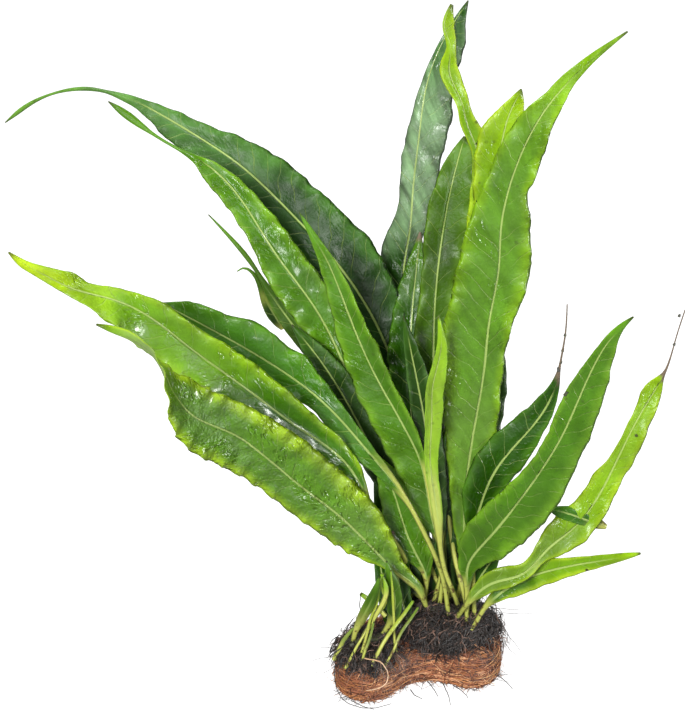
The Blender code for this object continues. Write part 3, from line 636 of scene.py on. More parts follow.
# x, y, z in millimetres and the blade's turn in degrees, base first
fronds = {
    "frontLeft": dict(
        route=[
            (2.2, 5, 27.5, 0), (-0.6, 3.4, 35, 0), (-6.7, 1, 42, 0), (-14.5, -2, 52, 0),
            (-28.2, -9.5, 72, 0), (-38.6, -16, 85, 0), (-49.9, -25, 101, 0), (-62, -34, 116, 0),
            (-72, -43, 126, 15), (-77.5, -49, 137, 60), (-81, -53, 149, 105),
            (-88, -57, 159, 125), (-97, -60, 164, 140),
        ],
        outline=[
            (0.03, 0.9, 1.1), (0.08, 1.5, 2.2), (0.13, 1.1, 4), (0.16, 2.2, 5.8),
            (0.19, 4.6, 7.6), (0.23, 7.2, 9.6), (0.28, 8.4, 11.2), (0.35, 9.2, 12),
            (0.43, 9, 12.4), (0.5, 9, 12.6), (0.56, 10, 11.6), (0.62, 11, 10), (0.68, 10.8, 10),
            (0.74, 8.6, 10), (0.79, 7.2, 8.4), (0.84, 4, 5.4), (0.88, 3, 3.4), (0.93, 2.4, 2.6),
            (0.97, 1.3, 1.4), (1, 0.3, 0.3),
        ],
        tone="glossy", fold=8, ruffle=1.1, wave=9, quilt=0.46,
    ),
    "farLeft": dict(
        route=[
            (-5.5, 7, 27.5, 0), (-4, 7, 38, 0), (-15, 0.5, 65, 0), (-26, -4, 89, 0),
            (-41, -8, 104, 0), (-58, -13, 121, 0), (-76, -17, 138, 0), (-89, -21, 151, 0),
            (-99, -24, 157, 25), (-108, -27, 161, 10), (-117, -29, 167, -10),
            (-126, -32, 175, 0),
        ],
        outline=[
            (0.26, 0.9, 0.9), (0.32, 3, 3.4), (0.38, 4.6, 5), (0.44, 5.2, 6.6), (0.5, 6.4, 8),
            (0.55, 7.6, 8.2), (0.6, 9, 8.4), (0.65, 10, 8), (0.7, 10, 6.6), (0.75, 9.6, 6.8),
            (0.79, 9.4, 5.2), (0.83, 8.4, 3.8), (0.86, 5.2, 2.8), (0.885, 3, 4.4),
            (0.905, 2.2, 5), (0.94, 1.8, 2.8), (0.965, 2.2, 0.9), (0.985, 1.6, 0.5),
            (1, 0.3, 0.3),
        ],
        tone="yellowTip", fold=15, ruffle=1.5, wave=13, quilt=0.2, cup=0.06,
    ),
    "leftMid": dict(
        route=[
            (10, 2.3, 27.5, 0), (8, 1, 40, 0), (1, -1, 60, 0), (-8, 0, 77, 0), (-18, 1, 90, 0),
            (-33, 4, 107, 0), (-51, 6, 121, 0), (-68, 6, 132, 0), (-86, 7, 142, 10),
        ],
        outline=[
            (0.32, 0.9, 0.9), (0.38, 2.4, 1.4), (0.44, 4, 2), (0.5, 5.6, 2.8), (0.56, 5.4, 3.6),
            (0.6, 4.2, 4.8), (0.65, 4.8, 6.2), (0.69, 6, 9), (0.72, 6, 8.2), (0.76, 5.4, 8.2),
            (0.79, 5, 10), (0.83, 5, 9), (0.88, 4.4, 6.4), (0.93, 3.4, 6.2), (0.965, 1.8, 3.8),
            (1, 0.3, 0.3),
        ],
        tone="deep", fold=10, ruffle=1.2, wave=11, quilt=0.18, cup=0.08,
    ),
    "upperLeft": dict(
        route=[
            (3, 12.6, 28, 0), (2, 12, 35, 0), (-7, 15, 63, 0), (-17, 18, 90, 0),
            (-26, 21, 112, 0), (-36, 25, 132, 0), (-50, 28, 152, 0), (-63, 32, 172, 0),
            (-73, 34, 181, 10), (-83, 36, 186, 20), (-93, 38, 192, 20), (-104, 40, 200, 0),
        ],
        outline=[
            (0.24, 0.9, 0.9), (0.3, 2.8, 3), (0.36, 4, 5.2), (0.42, 5.4, 6.6), (0.5, 7.4, 7.6),
            (0.56, 8.6, 7.8), (0.62, 8, 7.8), (0.68, 5.2, 7.4), (0.73, 5.4, 5.4),
            (0.78, 5.4, 3.8), (0.815, 4.8, 2.4), (0.84, 1.8, 1), (0.87, 0.5, 0.5),
            (0.92, 0.5, 0.5), (0.95, 1.3, 1.6), (0.975, 1.3, 1.6), (1, 0.2, 0.2),
        ],
        tone="fresh", ruffle=1, quilt=0.22, cup=0.08,
    ),
    "centreLeft": dict(
        route=[
            (7.5, 6.2, 28, 0), (8, 5, 46, 0), (4, 5, 62, -10), (0, 7, 82, -15), (-7, 8, 98, -20),
            (-14, 9, 111, -20), (-24, 11, 134, -20), (-32, 12, 155, -10), (-41, 14, 171, 0),
        ],
        outline=[
            (0.2, 0.9, 0.9), (0.25, 4, 0.9), (0.3, 7, 1), (0.37, 9, 1.4), (0.43, 10, 3.2),
            (0.5, 9.8, 4.4), (0.57, 9.2, 4.8), (0.63, 8.4, 5.2), (0.67, 7.8, 5.8),
            (0.72, 6.8, 4.6), (0.8, 5, 4), (0.87, 3.4, 2.6), (0.93, 1.8, 1.2), (1, 0.2, 0.2),
        ],
        tone="fresh", ruffle=0.7, wave=11, quilt=0.32, cup=0.08,
    ),
    "backLeft": dict(
        route=[
            (2.5, 15.8, 28, 0), (5, 19, 33, 0), (0, 24.4, 67.3, 0), (-7, 28.6, 100.1, 0),
            (-16, 32.6, 124.6, 0), (-31, 38.6, 146.1, 0), (-44, 45, 158.5, 0), (-62, 52, 174, 0),
            (-75, 56, 182, 0), (-90, 60, 190, 0), (-101, 62, 195, 0), (-112, 64, 197, 0),
            (-126, 67, 195, 0), (-138, 70, 189, 0), (-145, 72, 183, 0),
        ],
        outline=[
            (0.24, 0.9, 0.9), (0.3, 4.5, 5), (0.36, 8, 9), (0.42, 10, 12.4), (0.48, 10.4, 14.4),
            (0.51, 10, 12.9), (0.54, 9.6, 13), (0.57, 9.2, 12), (0.61, 8.4, 11.6),
            (0.65, 7.6, 9.4), (0.68, 6.8, 7.4), (0.71, 6.8, 5.2), (0.75, 6.6, 4), (0.775, 4, 3),
            (0.8, 2.2, 1.8), (0.825, 1.6, 1), (0.845, 0.5, 0.5), (0.87, 0.5, 1.1),
            (0.895, 0.4, 0.8), (0.92, 0.4, 0.4), (0.95, 0.9, 0.5), (0.975, 1.2, 0.6),
            (1, 0.2, 0.2),
        ],
        tone="blue", fold=8, ruffle=1.2, wave=9, quilt=0.18, cup=0.08,
    ),
    "backTall": dict(
        route=[
            (5, 14.5, 28, 0), (6, 16, 39, 0), (5, 21.6, 68.7, 0), (2, 29.5, 95.8, 0),
            (-2, 36.5, 118.4, 0), (-6, 41.5, 136.4, 0), (-4, 44.6, 152.8, 0),
            (-3, 47.4, 166.4, 0), (-1, 51, 186, 0), (1, 55, 200, 0), (6, 59, 214, 0),
            (15, 63, 228, 10),
        ],
        outline=[
            (0.26, 0.9, 0.9), (0.32, 4, 3.5), (0.4, 6.6, 5.4), (0.48, 8, 6), (0.55, 8.8, 5.4),
            (0.59, 9.2, 4.8), (0.625, 7.6, 5.2), (0.65, 5.2, 6.4), (0.69, 4.6, 8.6),
            (0.73, 5.4, 9), (0.77, 4.8, 10), (0.81, 3.4, 11.6), (0.85, 2.2, 9.8), (0.89, 1.4, 9),
            (0.93, 0.9, 8.8), (0.965, 0.7, 4.8), (0.985, 0.6, 1.6), (1, 0.2, 0.2),
        ],
        tone="silver", fold=-20, ruffle=1.3, wave=10, quilt=0.3, cup=0,
    ),
    "backSlim": dict(
        route=[
            (8.5, 12.3, 28, 0), (10, 13, 40, 0), (12, 16, 79, 0), (14, 19, 116, 0),
            (17, 22, 144, 0), (19, 24, 171, 0), (17, 26, 187, 0), (13, 26, 197, 0),
            (11, 26, 204, 0), (7, 28, 214, 0), (7, 27, 222, 0), (5, 27, 228, 0),
            (7, 28, 235, 10),
        ],
        outline=[
            (0.3, 0.9, 0.9), (0.4, 3.5, 4), (0.5, 5, 5.5), (0.6, 5.5, 6), (0.7, 4.6, 6),
            (0.76, 2.4, 5), (0.79, 1.6, 4.4), (0.81, 2.6, 3.4), (0.84, 1.6, 2.2),
            (0.87, 2.4, 3.2), (0.9, 3.6, 3.2), (0.925, 1.8, 1.6), (0.94, 0.8, 1.6),
            (0.955, 0.7, 4), (0.975, 0.6, 3.6), (1, 0.2, 0.9),
        ],
        tone="lime", fold=10, ruffle=0.7, wave=9, quilt=0.14,
    ),
    "frontTall": dict(
        route=[
            (13.5, 7, 28, 0), (15, 5, 40, 0), (15, 4, 54, 0), (15, 2, 79, 0), (17, -1, 103, 0),
            (19, -3, 123, 0), (20, -5, 142, 0), (22, -7, 160, 0), (22, -8, 173, 0),
            (24, -10, 188, 0), (28, -12, 202, 0), (35, -14, 216, 0), (43, -16, 226, 0),
            (49, -17, 232, 0), (55, -19, 238, 0),
        ],
        outline=[
            (0.1, 0.9, 0.9), (0.14, 3, 1.6), (0.2, 4.8, 3.2), (0.25, 6.2, 5.5), (0.3, 8.2, 7.5),
            (0.35, 10.4, 7.8), (0.4, 12.2, 6.8), (0.45, 13.6, 6.2), (0.5, 15.2, 6.8),
            (0.54, 13.8, 8.4), (0.6, 14, 10.3), (0.65, 12, 9.6), (0.7, 9.2, 8.6),
            (0.73, 7.8, 5.4), (0.76, 7.2, 7), (0.8, 6.8, 6.4), (0.84, 5, 4.8), (0.87, 2.9, 3.8),
            (0.9, 2.8, 1.8), (0.94, 2, 0.7), (1, 0.3, 0.3),
        ],
        tone="bright", fold=10, ruffle=1.5, wave=14, quilt=0.16, cup=0.05,
    ),
    "centre": dict(
        route=[
            (16.8, 2.4, 27.5, 0), (15, 1, 36, 0), (12, 5, 47.1, 0), (10, 9.6, 59.4, 0),
            (7, 14.6, 73.8, 0), (5, 18.8, 91.6, 0), (4, 21, 111, 0), (4, 24, 133, 0),
            (6, 28, 156, 0), (9, 31, 174, 0), (13, 34, 190, 0),
        ],
        outline=[
            (0.24, 0.9, 0.9), (0.32, 3, 2.5), (0.4, 5, 4), (0.5, 7, 5), (0.57, 7.6, 6),
            (0.64, 6, 6.2), (0.72, 5.2, 6.4), (0.8, 6.2, 8), (0.86, 6.4, 9), (0.9, 5.6, 8.6),
            (0.95, 4.2, 6.2), (0.98, 2, 3.6), (1, 0.3, 0.3),
        ],
        tone="olive", fold=10, ruffle=1.3, wave=13, quilt=0.16, cup=0.08,
    ),
    "backRight": dict(
        route=[
            (11.5, 10.3, 28, 0), (14, 10, 43, 0), (15, 11, 82, 0), (16, 13, 112, 0),
            (18, 13, 140, 0), (21, 14, 168, 0), (23, 15, 188, 0), (25, 16, 201, 0),
            (29, 16, 211, 0),
        ],
        outline=[
            (0.3, 0.9, 0.9), (0.4, 4, 4), (0.5, 5, 5), (0.6, 5.5, 5.5), (0.7, 5.6, 5.5),
            (0.8, 7, 5.5), (0.87, 8.2, 5.4), (0.92, 8.2, 5.2), (0.945, 5, 5), (0.965, 2.8, 4.6),
            (0.985, 1.6, 2.8), (1, 0.3, 0.3),
        ],
        tone="lime", fold=10, ruffle=0.8, wave=9, quilt=0.14, cup=0.08,
    ),
    "innerRight": dict(
        route=[
            (17.5, 7.2, 27, 0), (20, 7, 44, 0), (22, 9, 75, 0), (22, 10, 98, 0),
            (24, 11, 115, 0), (24, 11, 128, 0), (26, 10, 137, 0),
        ],
        outline=[
            (0.28, 0.9, 0.9), (0.4, 3.8, 3.8), (0.6, 5.2, 5.2), (0.75, 4.8, 4.8),
            (0.9, 2.6, 2.6), (1, 0.3, 0.3),
        ],
        tone="shade", fold=10, ruffle=0.8, wave=9, quilt=0.14, cup=0.08,
    ),
    "threadTip": dict(
        route=[
            (19.3, 1.6, 26.5, 0), (18, 0, 46, 0), (18, -2, 62, 0), (20, -3, 74, 0),
            (24, -4, 86, 0), (30, -5, 96, 0), (38, -6, 108, 0), (42, -7, 119, 0),
            (43, -8, 128, 0), (44, -8, 138, 0), (44, -8, 148, 0),
        ],
        outline=[
            (0.26, 0.9, 0.9), (0.33, 4, 2.5), (0.4, 7.4, 4.4), (0.46, 8.4, 5.8),
            (0.52, 8.6, 6.8), (0.57, 8.2, 6.9), (0.62, 6.8, 5.4), (0.68, 5.6, 3.8),
            (0.73, 4.2, 2.6), (0.77, 2.4, 1.6), (0.8, 1.1, 0.8), (0.83, 0.35, 0.35),
            (1, 0.2, 0.2),
        ],
        tone="dark", fold=15, ruffle=0.7, wave=11, quilt=0.16, cup=0.08,
    ),
    "rightBroad": dict(
        route=[
            (16.5, -0.5, 27, 0), (16, -2, 39, 0), (16, -5, 50, 0), (20, -9, 60, 0),
            (26, -14, 72, 0), (33, -19, 87, 0), (42, -26, 110, 0), (48, -32, 133, 0),
            (54, -37, 150, 0), (59, -41, 158, 0),
        ],
        outline=[
            (0.1, 0.9, 0.9), (0.15, 1.6, 2.6), (0.2, 4.6, 4.6), (0.25, 7.6, 7), (0.3, 9.2, 8.8),
            (0.35, 8.9, 9.8), (0.41, 7.6, 10.8), (0.48, 5.8, 11.2), (0.54, 4.6, 10.2),
            (0.6, 4.4, 8.8), (0.68, 5, 8.2), (0.75, 5, 7.4), (0.8, 4.2, 7), (0.85, 2.6, 5.6),
            (0.9, 1.8, 4), (0.94, 1.4, 1.8), (0.97, 1.1, 0.7), (1, 0.3, 0.3),
        ],
        tone="fresh", ruffle=0.8, wave=12, quilt=0.12, cup=0.08,
    ),
    "rightOuter": dict(
        route=[
            (14, -0.3, 27, 0), (17, -7, 37, 0), (24, -9, 45, 0), (34, -11, 50, 0),
            (42, -10, 59, 0), (50, -10, 67, 0), (58, -9, 79, 0), (63, -9, 92, 0),
            (69, -9, 108, 0), (75, -8, 120, 0), (77, -9, 126, 0), (79, -9, 136, 0),
            (81, -10, 147, 0),
        ],
        outline=[
            (0.1, 0.9, 0.9), (0.14, 2.6, 2.2), (0.18, 4.2, 3), (0.22, 5, 3.2), (0.26, 4, 2.6),
            (0.3, 2.6, 1.6), (0.34, 4.2, 3.4), (0.38, 6.4, 5.6), (0.43, 7.6, 6),
            (0.48, 5.8, 5.2), (0.52, 5.2, 5.3), (0.56, 5.6, 4.4), (0.6, 3.2, 5),
            (0.64, 2.2, 5.6), (0.7, 2, 5.2), (0.75, 2.6, 4.2), (0.79, 4, 3.4), (0.815, 3.8, 1.4),
            (0.83, 0.5, 0.4), (0.9, 0.22, 0.22), (1, 0.2, 0.2),
        ],
        tone="sunny", ruffle=0.8, wave=10, quilt=0.12, cup=0.08,
    ),
    "rightLow": dict(
        route=[
            (20, -2.8, 26, 0), (23, -4, 33, 0), (28, -5, 39, 0), (36, -6, 45.2, 0),
            (47, -10, 51.8, 0), (57, -15, 57.4, 0), (71, -22, 65, 0),
        ],
        outline=[
            (0.16, 0.9, 0.9), (0.24, 2.4, 2.4), (0.33, 3.8, 4.4), (0.44, 4.4, 4.8),
            (0.54, 4.4, 4.4), (0.63, 3.2, 3.6), (0.73, 2.4, 2.8), (0.83, 1.7, 2.1),
            (0.93, 1.1, 1.4), (1, 0.3, 0.5),
        ],
        tone="lime", ruffle=0.4, quilt=0.08,
    ),
    "centreFolded": dict(
        route=[
            (13.5, 4.6, 28, 0), (12, 1, 34, 0), (9, -1, 43, 0), (6, -4, 59, 0), (4, -6, 76, 0),
            (2, -7, 91, 0), (2, -9, 108, 0), (2, -11, 121, 0), (4, -13, 134, 0),
            (3, -15, 147, 0),
        ],
        outline=[
            (0.28, 0.9, 0.9), (0.38, 1.8, 2.2), (0.55, 2.4, 3.2), (0.7, 3, 4.6), (0.8, 2.8, 5),
            (0.87, 2.2, 3.8), (0.93, 1.2, 1.8), (1, 0.3, 0.3),
        ],
        tone="strap", fold=40, ruffle=0.3, wave=12, quilt=0.06,
    ),
    "centreInner": dict(
        route=[
            (6, 9.5, 28, 0), (8, 8, 40, 0), (6, 8, 60, 0), (3, 10.3, 82.4, 0),
            (0, 11.2, 101.4, 0), (-4, 10.6, 121.7, 0), (-7, 10, 136, 0),
        ],
        outline=[
            (0.24, 0.9, 0.9), (0.36, 3.6, 4.2), (0.5, 4.2, 5.4), (0.65, 4.2, 5.4),
            (0.8, 3.4, 4.4), (0.92, 1.8, 2.2), (1, 0.2, 0.2),
        ],
        tone="shade", fold=15, ruffle=1, wave=9, quilt=0.1,
    ),
    "backThin": dict(
        route=[
            (-2.3, 16, 27.6, 0), (0, 18, 38, 0), (-10, 24, 71, 0), (-24, 30, 97, 0),
            (-38, 34, 114, 0), (-50, 39, 129, 0), (-59, 42, 143, 0), (-67, 45, 152, 0),
            (-73, 47, 158, 0),
        ],
        outline=[
            (0.36, 0.9, 0.9), (0.5, 3.2, 3.4), (0.62, 3.6, 3.6), (0.72, 3.4, 2.6),
            (0.79, 1.8, 1.4), (0.83, 0.6, 0.6), (0.88, 0.9, 1), (0.93, 0.7, 0.7), (1, 0.2, 0.2),
        ],
        tone="olive", ruffle=0.7, quilt=0.08,
    ),
    "innerLeft": dict(
        route=[
            (-2, 13, 28, 0), (-2, 12, 37, 0), (-12, 13, 73, 0), (-24, 15, 99, 0),
            (-34, 17, 116, 0), (-44, 19, 129, 0),
        ],
        outline=[
            (0.3, 0.9, 0.9), (0.45, 4.6, 4.8), (0.62, 6.6, 6.8), (0.78, 6, 6), (0.9, 3.6, 3.6),
            (1, 0.3, 0.3),
        ],
        tone="shade", ruffle=0.7, wave=10, quilt=0.12,
    ),
    "youngFront": dict(
        route=[
            (2, 7.4, 28, 0), (2.5, 8.2, 35.2, 0), (-1.5, 8.8, 46.3, 0), (-5, 9.2, 54.9, 0),
            (-9, 9.4, 68.9, 0), (-15, 9.6, 84.1, 0),
        ],
        outline=[
            (0.2, 0.9, 0.9), (0.28, 1.6, 4.6), (0.36, 5, 6.4), (0.5, 6.2, 7.6), (0.65, 6.4, 7),
            (0.8, 5, 5.5), (0.92, 3, 3), (1, 0.3, 0.3),
        ],
        tone="fresh", fold=15, ruffle=0.7, wave=9, quilt=0.16,
    ),
    "smallStalk": dict(
        route=[
            (-19.5, -8, 23.2, 0), (-18, -9, 27, 0), (-15, -10, 34, 0), (-12, -9, 41, 0),
            (-14, -9, 49, 0),
        ],
        outline=[
            (0.6, 0.85, 0.85), (0.8, 1.2, 1), (1, 0.3, 0.3),
        ],
        tone="strap", fold=15, ruffle=0.1, quilt=0.02, cup=0,
    ),
    "smallBlade": dict(
        route=[
            (-23.2, -9, 22.6, 0), (-22.6, -10, 26, 0), (-20, -11, 33, 0), (-16.5, -12, 42, 0),
            (-14.5, -13, 50, 0),
        ],
        outline=[
            (0.25, 0.9, 0.9), (0.4, 1.72, 1.72), (0.6, 2.18, 2.03), (0.8, 1.56, 1.56),
            (1, 0.3, 0.3),
        ],
        tone="olive", fold=15, ruffle=0.3, wave=7, quilt=0.06,
    ),
    "smallInner": dict(
        route=[
            (-12, -5.3, 23.6, 0), (-10, -6, 28, 0), (-9, -6, 36, 0), (-10, -6, 43, 0),
            (-12, -6, 52, 0),
        ],
        outline=[
            (0.2, 0.9, 0.9), (0.4, 2.65, 2.65), (0.65, 2.81, 2.96), (0.85, 1.87, 1.87),
            (1, 0.3, 0.3),
        ],
        tone="olive", fold=15, ruffle=0.3, wave=7, quilt=0.06,
    ),
    # painted shade: near-black filling fronds put where only shade lies between the other fronds
    "shadeLeft": dict(
        route=[
            (2, 8.6, 27, 0), (-4.6, 9.4, 37.6, 0), (-8.2, 10.4, 48, 0), (-11.8, 11, 60, 0),
            (-16, 12, 74, 0),
        ],
        outline=[
            (0.08, 0.9, 0.9), (0.25, 3.4, 4.6), (0.5, 5, 6), (0.8, 3.6, 4), (1, 0.3, 0.3),
        ],
        tone="shade", ruffle=0.8, wave=9, quilt=0.14,
    ),
    "shadeMid": dict(
        route=[
            (10.1, 9, 26.5, 0), (9.4, 9, 41, 0), (8.3, 9.5, 59, 0), (7.9, 10.5, 74.4, 0),
            (8.3, 12, 92, 0),
        ],
        outline=[
            (0.08, 0.9, 0.9), (0.25, 3.2, 3.2), (0.55, 4.4, 4.4), (0.85, 3, 3), (1, 0.3, 0.3),
        ],
        tone="shade", ruffle=0.8, wave=9, quilt=0.14,
    ),
    "shadeRight": dict(
        route=[
            (17.1, 3, 27.5, 0), (19.9, 2, 38.2, 0), (23, 1, 45.3, 0), (27.5, 0, 53, 0),
        ],
        outline=[
            (0.12, 0.9, 0.9), (0.35, 3.2, 4.2), (0.65, 3.8, 4.2), (0.85, 2.4, 2.4),
            (1, 0.3, 0.3),
        ],
        tone="dark", ruffle=0.5, quilt=0.14,
    ),
    "shadeBack": dict(
        route=[
            (14.3, 8, 26.4, 0), (15, 7.4, 38.3, 0), (14.6, 7.2, 50.5, 0), (12.6, 8, 66, 0),
        ],
        outline=[
            (0.12, 0.9, 0.9), (0.35, 4, 3), (0.65, 4.4, 3), (0.85, 2.4, 2), (1, 0.3, 0.3),
        ],
        tone="shade", ruffle=0.5, quilt=0.14,
    ),
    "flap": dict(
        route=[
            (57.2, -9.5, 69.2, 0), (54.5, -9.8, 70.4, 0), (49.4, -9.9, 72.6, 0),
            (44.6, -9.6, 74, 0), (41.6, -9, 74.6, 0),
        ],
        outline=[
            (0.02, 1.6, 1.6), (0.15, 1.8, 2.4), (0.5, 2.4, 3.2), (0.8, 2.6, 2.2),
            (0.93, 1.8, 0.8), (1, 0.3, 0.3),
        ],
        tone="flap", ruffle=0.5, quilt=0.1,
    ),
    "secondTip": dict(
        route=[
            (-50, 41, 122, 0), (-53.6, 42, 128.3, 0), (-55.6, 42, 133.9, 0),
            (-58.2, 42.5, 138.4, 0), (-61, 43, 139.9, 0), (-63.4, 43, 138.6, 0),
        ],
        outline=[
            (0.02, 2.2, 2.2), (0.25, 2.8, 2.2), (0.5, 1.4, 1.6), (0.7, 0.7, 0.9), (1, 0.2, 0.2),
        ],
        tone="olive", ruffle=0.4, wave=6, quilt=0.08,
    ),
    "cutStub": dict(
        route=[
            (-15.2, -8, 34.8, 0), (-16.2, -8, 36, 0), (-18.3, -8.5, 38.4, 0),
            (-20.7, -9, 40.7, 0),
        ],
        outline=[
            (0.05, 0.75, 0.75), (0.96, 0.95, 0.95), (1, 0.7, 0.7),
        ],
        tone="stem", fold=0, cup=0,
    ),
    "yellowStem": dict(
        route=[
            (-24, -12.6, 17.2, 0), (-22.3, -12, 20.7, 0), (-18.9, -10, 26.3, 0),
            (-16.8, -9.2, 30.2, 0), (-14.1, -8.9, 33.5, 0), (-12.1, -8.9, 38.9, 0),
            (-13.8, -8.9, 43.6, 0), (-12.9, -9.2, 49.2, 0),
        ],
        outline=[
            (0.1, 0.55, 0.55), (0.7, 0.45, 0.45), (0.85, 0.7, 0.5), (1, 0.3, 0.3),
        ],
        tone="stem", fold=0, cup=0,
    ),
    "leanStem": dict(
        route=[
            (-20.4, -11.8, 18.5, 0), (-18.6, -11.4, 26, 0), (-17.2, -11, 32.7, 0),
            (-15.2, -10.5, 38.1, 0), (-14.5, -10, 44, 0),
        ],
        outline=[
            (0.1, 0.6, 0.6), (0.7, 0.5, 0.5), (1, 0.3, 0.3),
        ],
        tone="stem", fold=0, cup=0,
    ),
    "thinStem": dict(
        route=[
            (-8.6, -7.2, 18, 0), (-9, -7.2, 22, 0), (-9.2, -7.2, 28, 0), (-9.6, -7.2, 37, 0),
            (-10, -7.2, 43.5, 0), (-10.5, -7.6, 49.4, 0),
        ],
        outline=[
            (0.1, 0.55, 0.55), (0.7, 0.5, 0.5), (1, 0.3, 0.3),
        ],
        tone="stem", fold=0, cup=0,
    ),
    "paleStem": dict(
        route=[
            (-15, -13.4, 19, 0), (-13, -12, 22.6, 0), (-8.8, -8.4, 27.4, 0), (-5.2, -4, 30, 0),
            (-2.3, 0, 32, 0),
        ],
        outline=[
            (0.05, 0.75, 0.75), (0.8, 0.7, 0.7), (1, 0.5, 0.5),
        ],
        tone="stem", fold=0, cup=0,
    ),
    "lowStem": dict(
        route=[
            (-11.4, -13.2, 16.2, 0), (-9.9, -12.6, 18.8, 0), (-6.8, -9.6, 25.2, 0),
            (-3.5, -5.6, 28, 0), (-0.6, -1, 30, 0),
        ],
        outline=[
            (0.05, 0.5, 0.5), (0.8, 0.55, 0.55), (1, 0.4, 0.4),
        ],
        tone="stemDull", fold=0, cup=0,
    ),
    "rootStem": dict(
        route=[
            (-20, -14, 17.4, 0), (-19.3, -14, 20.6, 0), (-18.2, -13, 23.4, 0),
            (-16.2, -11.5, 31, 0),
        ],
        outline=[
            (0.05, 0.6, 0.6), (0.8, 0.5, 0.5), (1, 0.3, 0.3),
        ],
        tone="stemDull", fold=0, cup=0,
    ),
    "edgeStub": dict(
        route=[
            (-28.2, -9, 18, 0), (-27.2, -9, 20.4, 0), (-25.6, -9, 23.4, 0), (-23, -9, 26.9, 0),
        ],
        outline=[
            (0.05, 0.9, 0.9), (0.8, 0.75, 0.75), (1, 0.4, 0.4),
        ],
        tone="stemDull", fold=0, cup=0,
    ),
    # painted shade: more near-black filling fronds, put where only shade lies between the other
    # fronds and stalks
    "shadeTall": dict(
        route=[
            (9, 12.6, 27, 0), (3.3, 14, 40.1, 0), (0, 17, 70.8, 0), (-3, 20, 92.7, 0),
            (-3.8, 27, 112.3, 0), (-3.1, 34, 128, 0), (-1.5, 39, 143.7, 0), (-0.5, 43, 153.1, 0),
        ],
        outline=[
            (0.1, 0.9, 0.9), (0.3, 5, 4), (0.5, 8, 6), (0.7, 8, 7), (0.85, 6, 6.4),
            (1, 0.3, 0.3),
        ],
        tone="dark", ruffle=1, quilt=0.12,
    ),
    "shadeLow": dict(
        route=[
            (3.7, 13, 21.5, 0), (2.8, 13, 30.3, 0), (1.9, 13.5, 40.4, 0), (1.3, 14, 50.4, 0),
        ],
        outline=[
            (0.01, 8, 7), (0.4, 9, 8), (0.8, 6, 6), (1, 2, 2),
        ],
        tone="shade", fold=6, ruffle=0.6, quilt=0.12,
    ),
    "shadeStub": dict(
        route=[
            (-8.1, 0, 15.8, 0), (-9.6, 1.5, 22.3, 0), (-11.7, 4, 31.5, 0), (-13.5, 7, 40.3, 0),
            (-15, 9, 51.3, 0),
        ],
        outline=[
            (0.08, 0.9, 0.9), (0.3, 3, 3.6), (0.5, 3, 4.8), (0.8, 2.2, 5), (1, 0.4, 0.4),
        ],
        tone="dark", ruffle=0.6, quilt=0.12,
    ),
    "shadeFoot": dict(
        route=[
            (-3.9, 2, 19.5, 0), (-5, 2.4, 25.9, 0), (-6.8, 4, 34, 0), (-8.3, 6, 45, 0),
            (-9.8, 8, 56, 0),
        ],
        outline=[
            (0.08, 0.9, 0.9), (0.3, 3, 3), (0.5, 4.2, 4.2), (0.8, 4.5, 4.5), (1, 0.4, 0.4),
        ],
        tone="dark", ruffle=0.6, quilt=0.12,
    ),
}

# which input of the tree each of a frond's values sets
frondShape = dict(
    fold="Fold", ruffle="Ruffle Height", wave="Ruffle Length", quilt="Quilt Depth", cup="Cup",
)
leafFinish = dict(coatRoughness=0.14, specular=0.18, film=0.00022, sink=4.5, routeStep=2.0)


def halfWidths(outline, count):
    # the left and right half width at evenly spaced shares, eased over a few millimetres
    shares, *sides = zip((0, 0.9, 0.9), *outline)
    result = []
    for side in sides:
        wide = np.interp(np.linspace(0, 1, count), shares, side)
        for _ in range(2):
            wide[1:-1] = wide[:-2] * 0.25 + wide[1:-1] * 0.5 + wide[2:] * 0.25
        result.append(wide)
    return result


def makeFronds():
    group = makeLeafGroup()
    leaves = {}
    for tone, look in tones.items():
        values = dict(
            Base=look["base"], Low=look["low"], Tip=look["tip"], Margin=look["margin"],
            Under=look["under"], Wetness=look["wet"], Turned=look.get("turned", 0.4),
            Film=look["film"], Specks=look.get("specks", 0.4), Thread=look.get("thread", 0.0),
            Streaks=look.get("streaks", 0.12),
        )
        leaves[tone] = finishMaterial(
            "leaf" + tone[0].upper() + tone[1:], group, values,
            dict(strength=1.0, depth=0.0006, film=leafFinish["film"]), **{
                "Coat Roughness": leafFinish["coatRoughness"],
                "Specular IOR Level": leafFinish["specular"],
            },
        )
    tree = makeFrondTree()
    for index, (name, frond) in enumerate(fronds.items()):
        rows = np.array(frond["route"], float)
        first = rows[0].copy()
        heading = rows[1, :3] - rows[0, :3]
        first[:3] -= heading / np.linalg.norm(heading) * leafFinish["sink"]
        route = smoothRoute([first, *rows], leafFinish["routeStep"])
        look = {**usualFrond, **frond}
        values = {label: float(look[key]) for key, label in frondShape.items()}
        values.update({
            "Stalk Share": float(frond["outline"][0][0]), "Seed": float(index + 1),
            "Material": leaves[frond["tone"]],
        })
        left, right = halfWidths(frond["outline"], len(route))
        guide = guideMesh(
            name, [route[:, :3]], turn=route[:, 3], leftWide=left, rightWide=right
        )
        piece = grow("frond" + name[0].upper() + name[1:], guide, tree, values)
        node = "frond_" + "".join("_" + c.lower() if c.isupper() else c for c in name)
        standsFor = [node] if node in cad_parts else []
        settle(piece, "frond", *standsFor)
    print("fronds made:", len(fronds))


makeFronds()


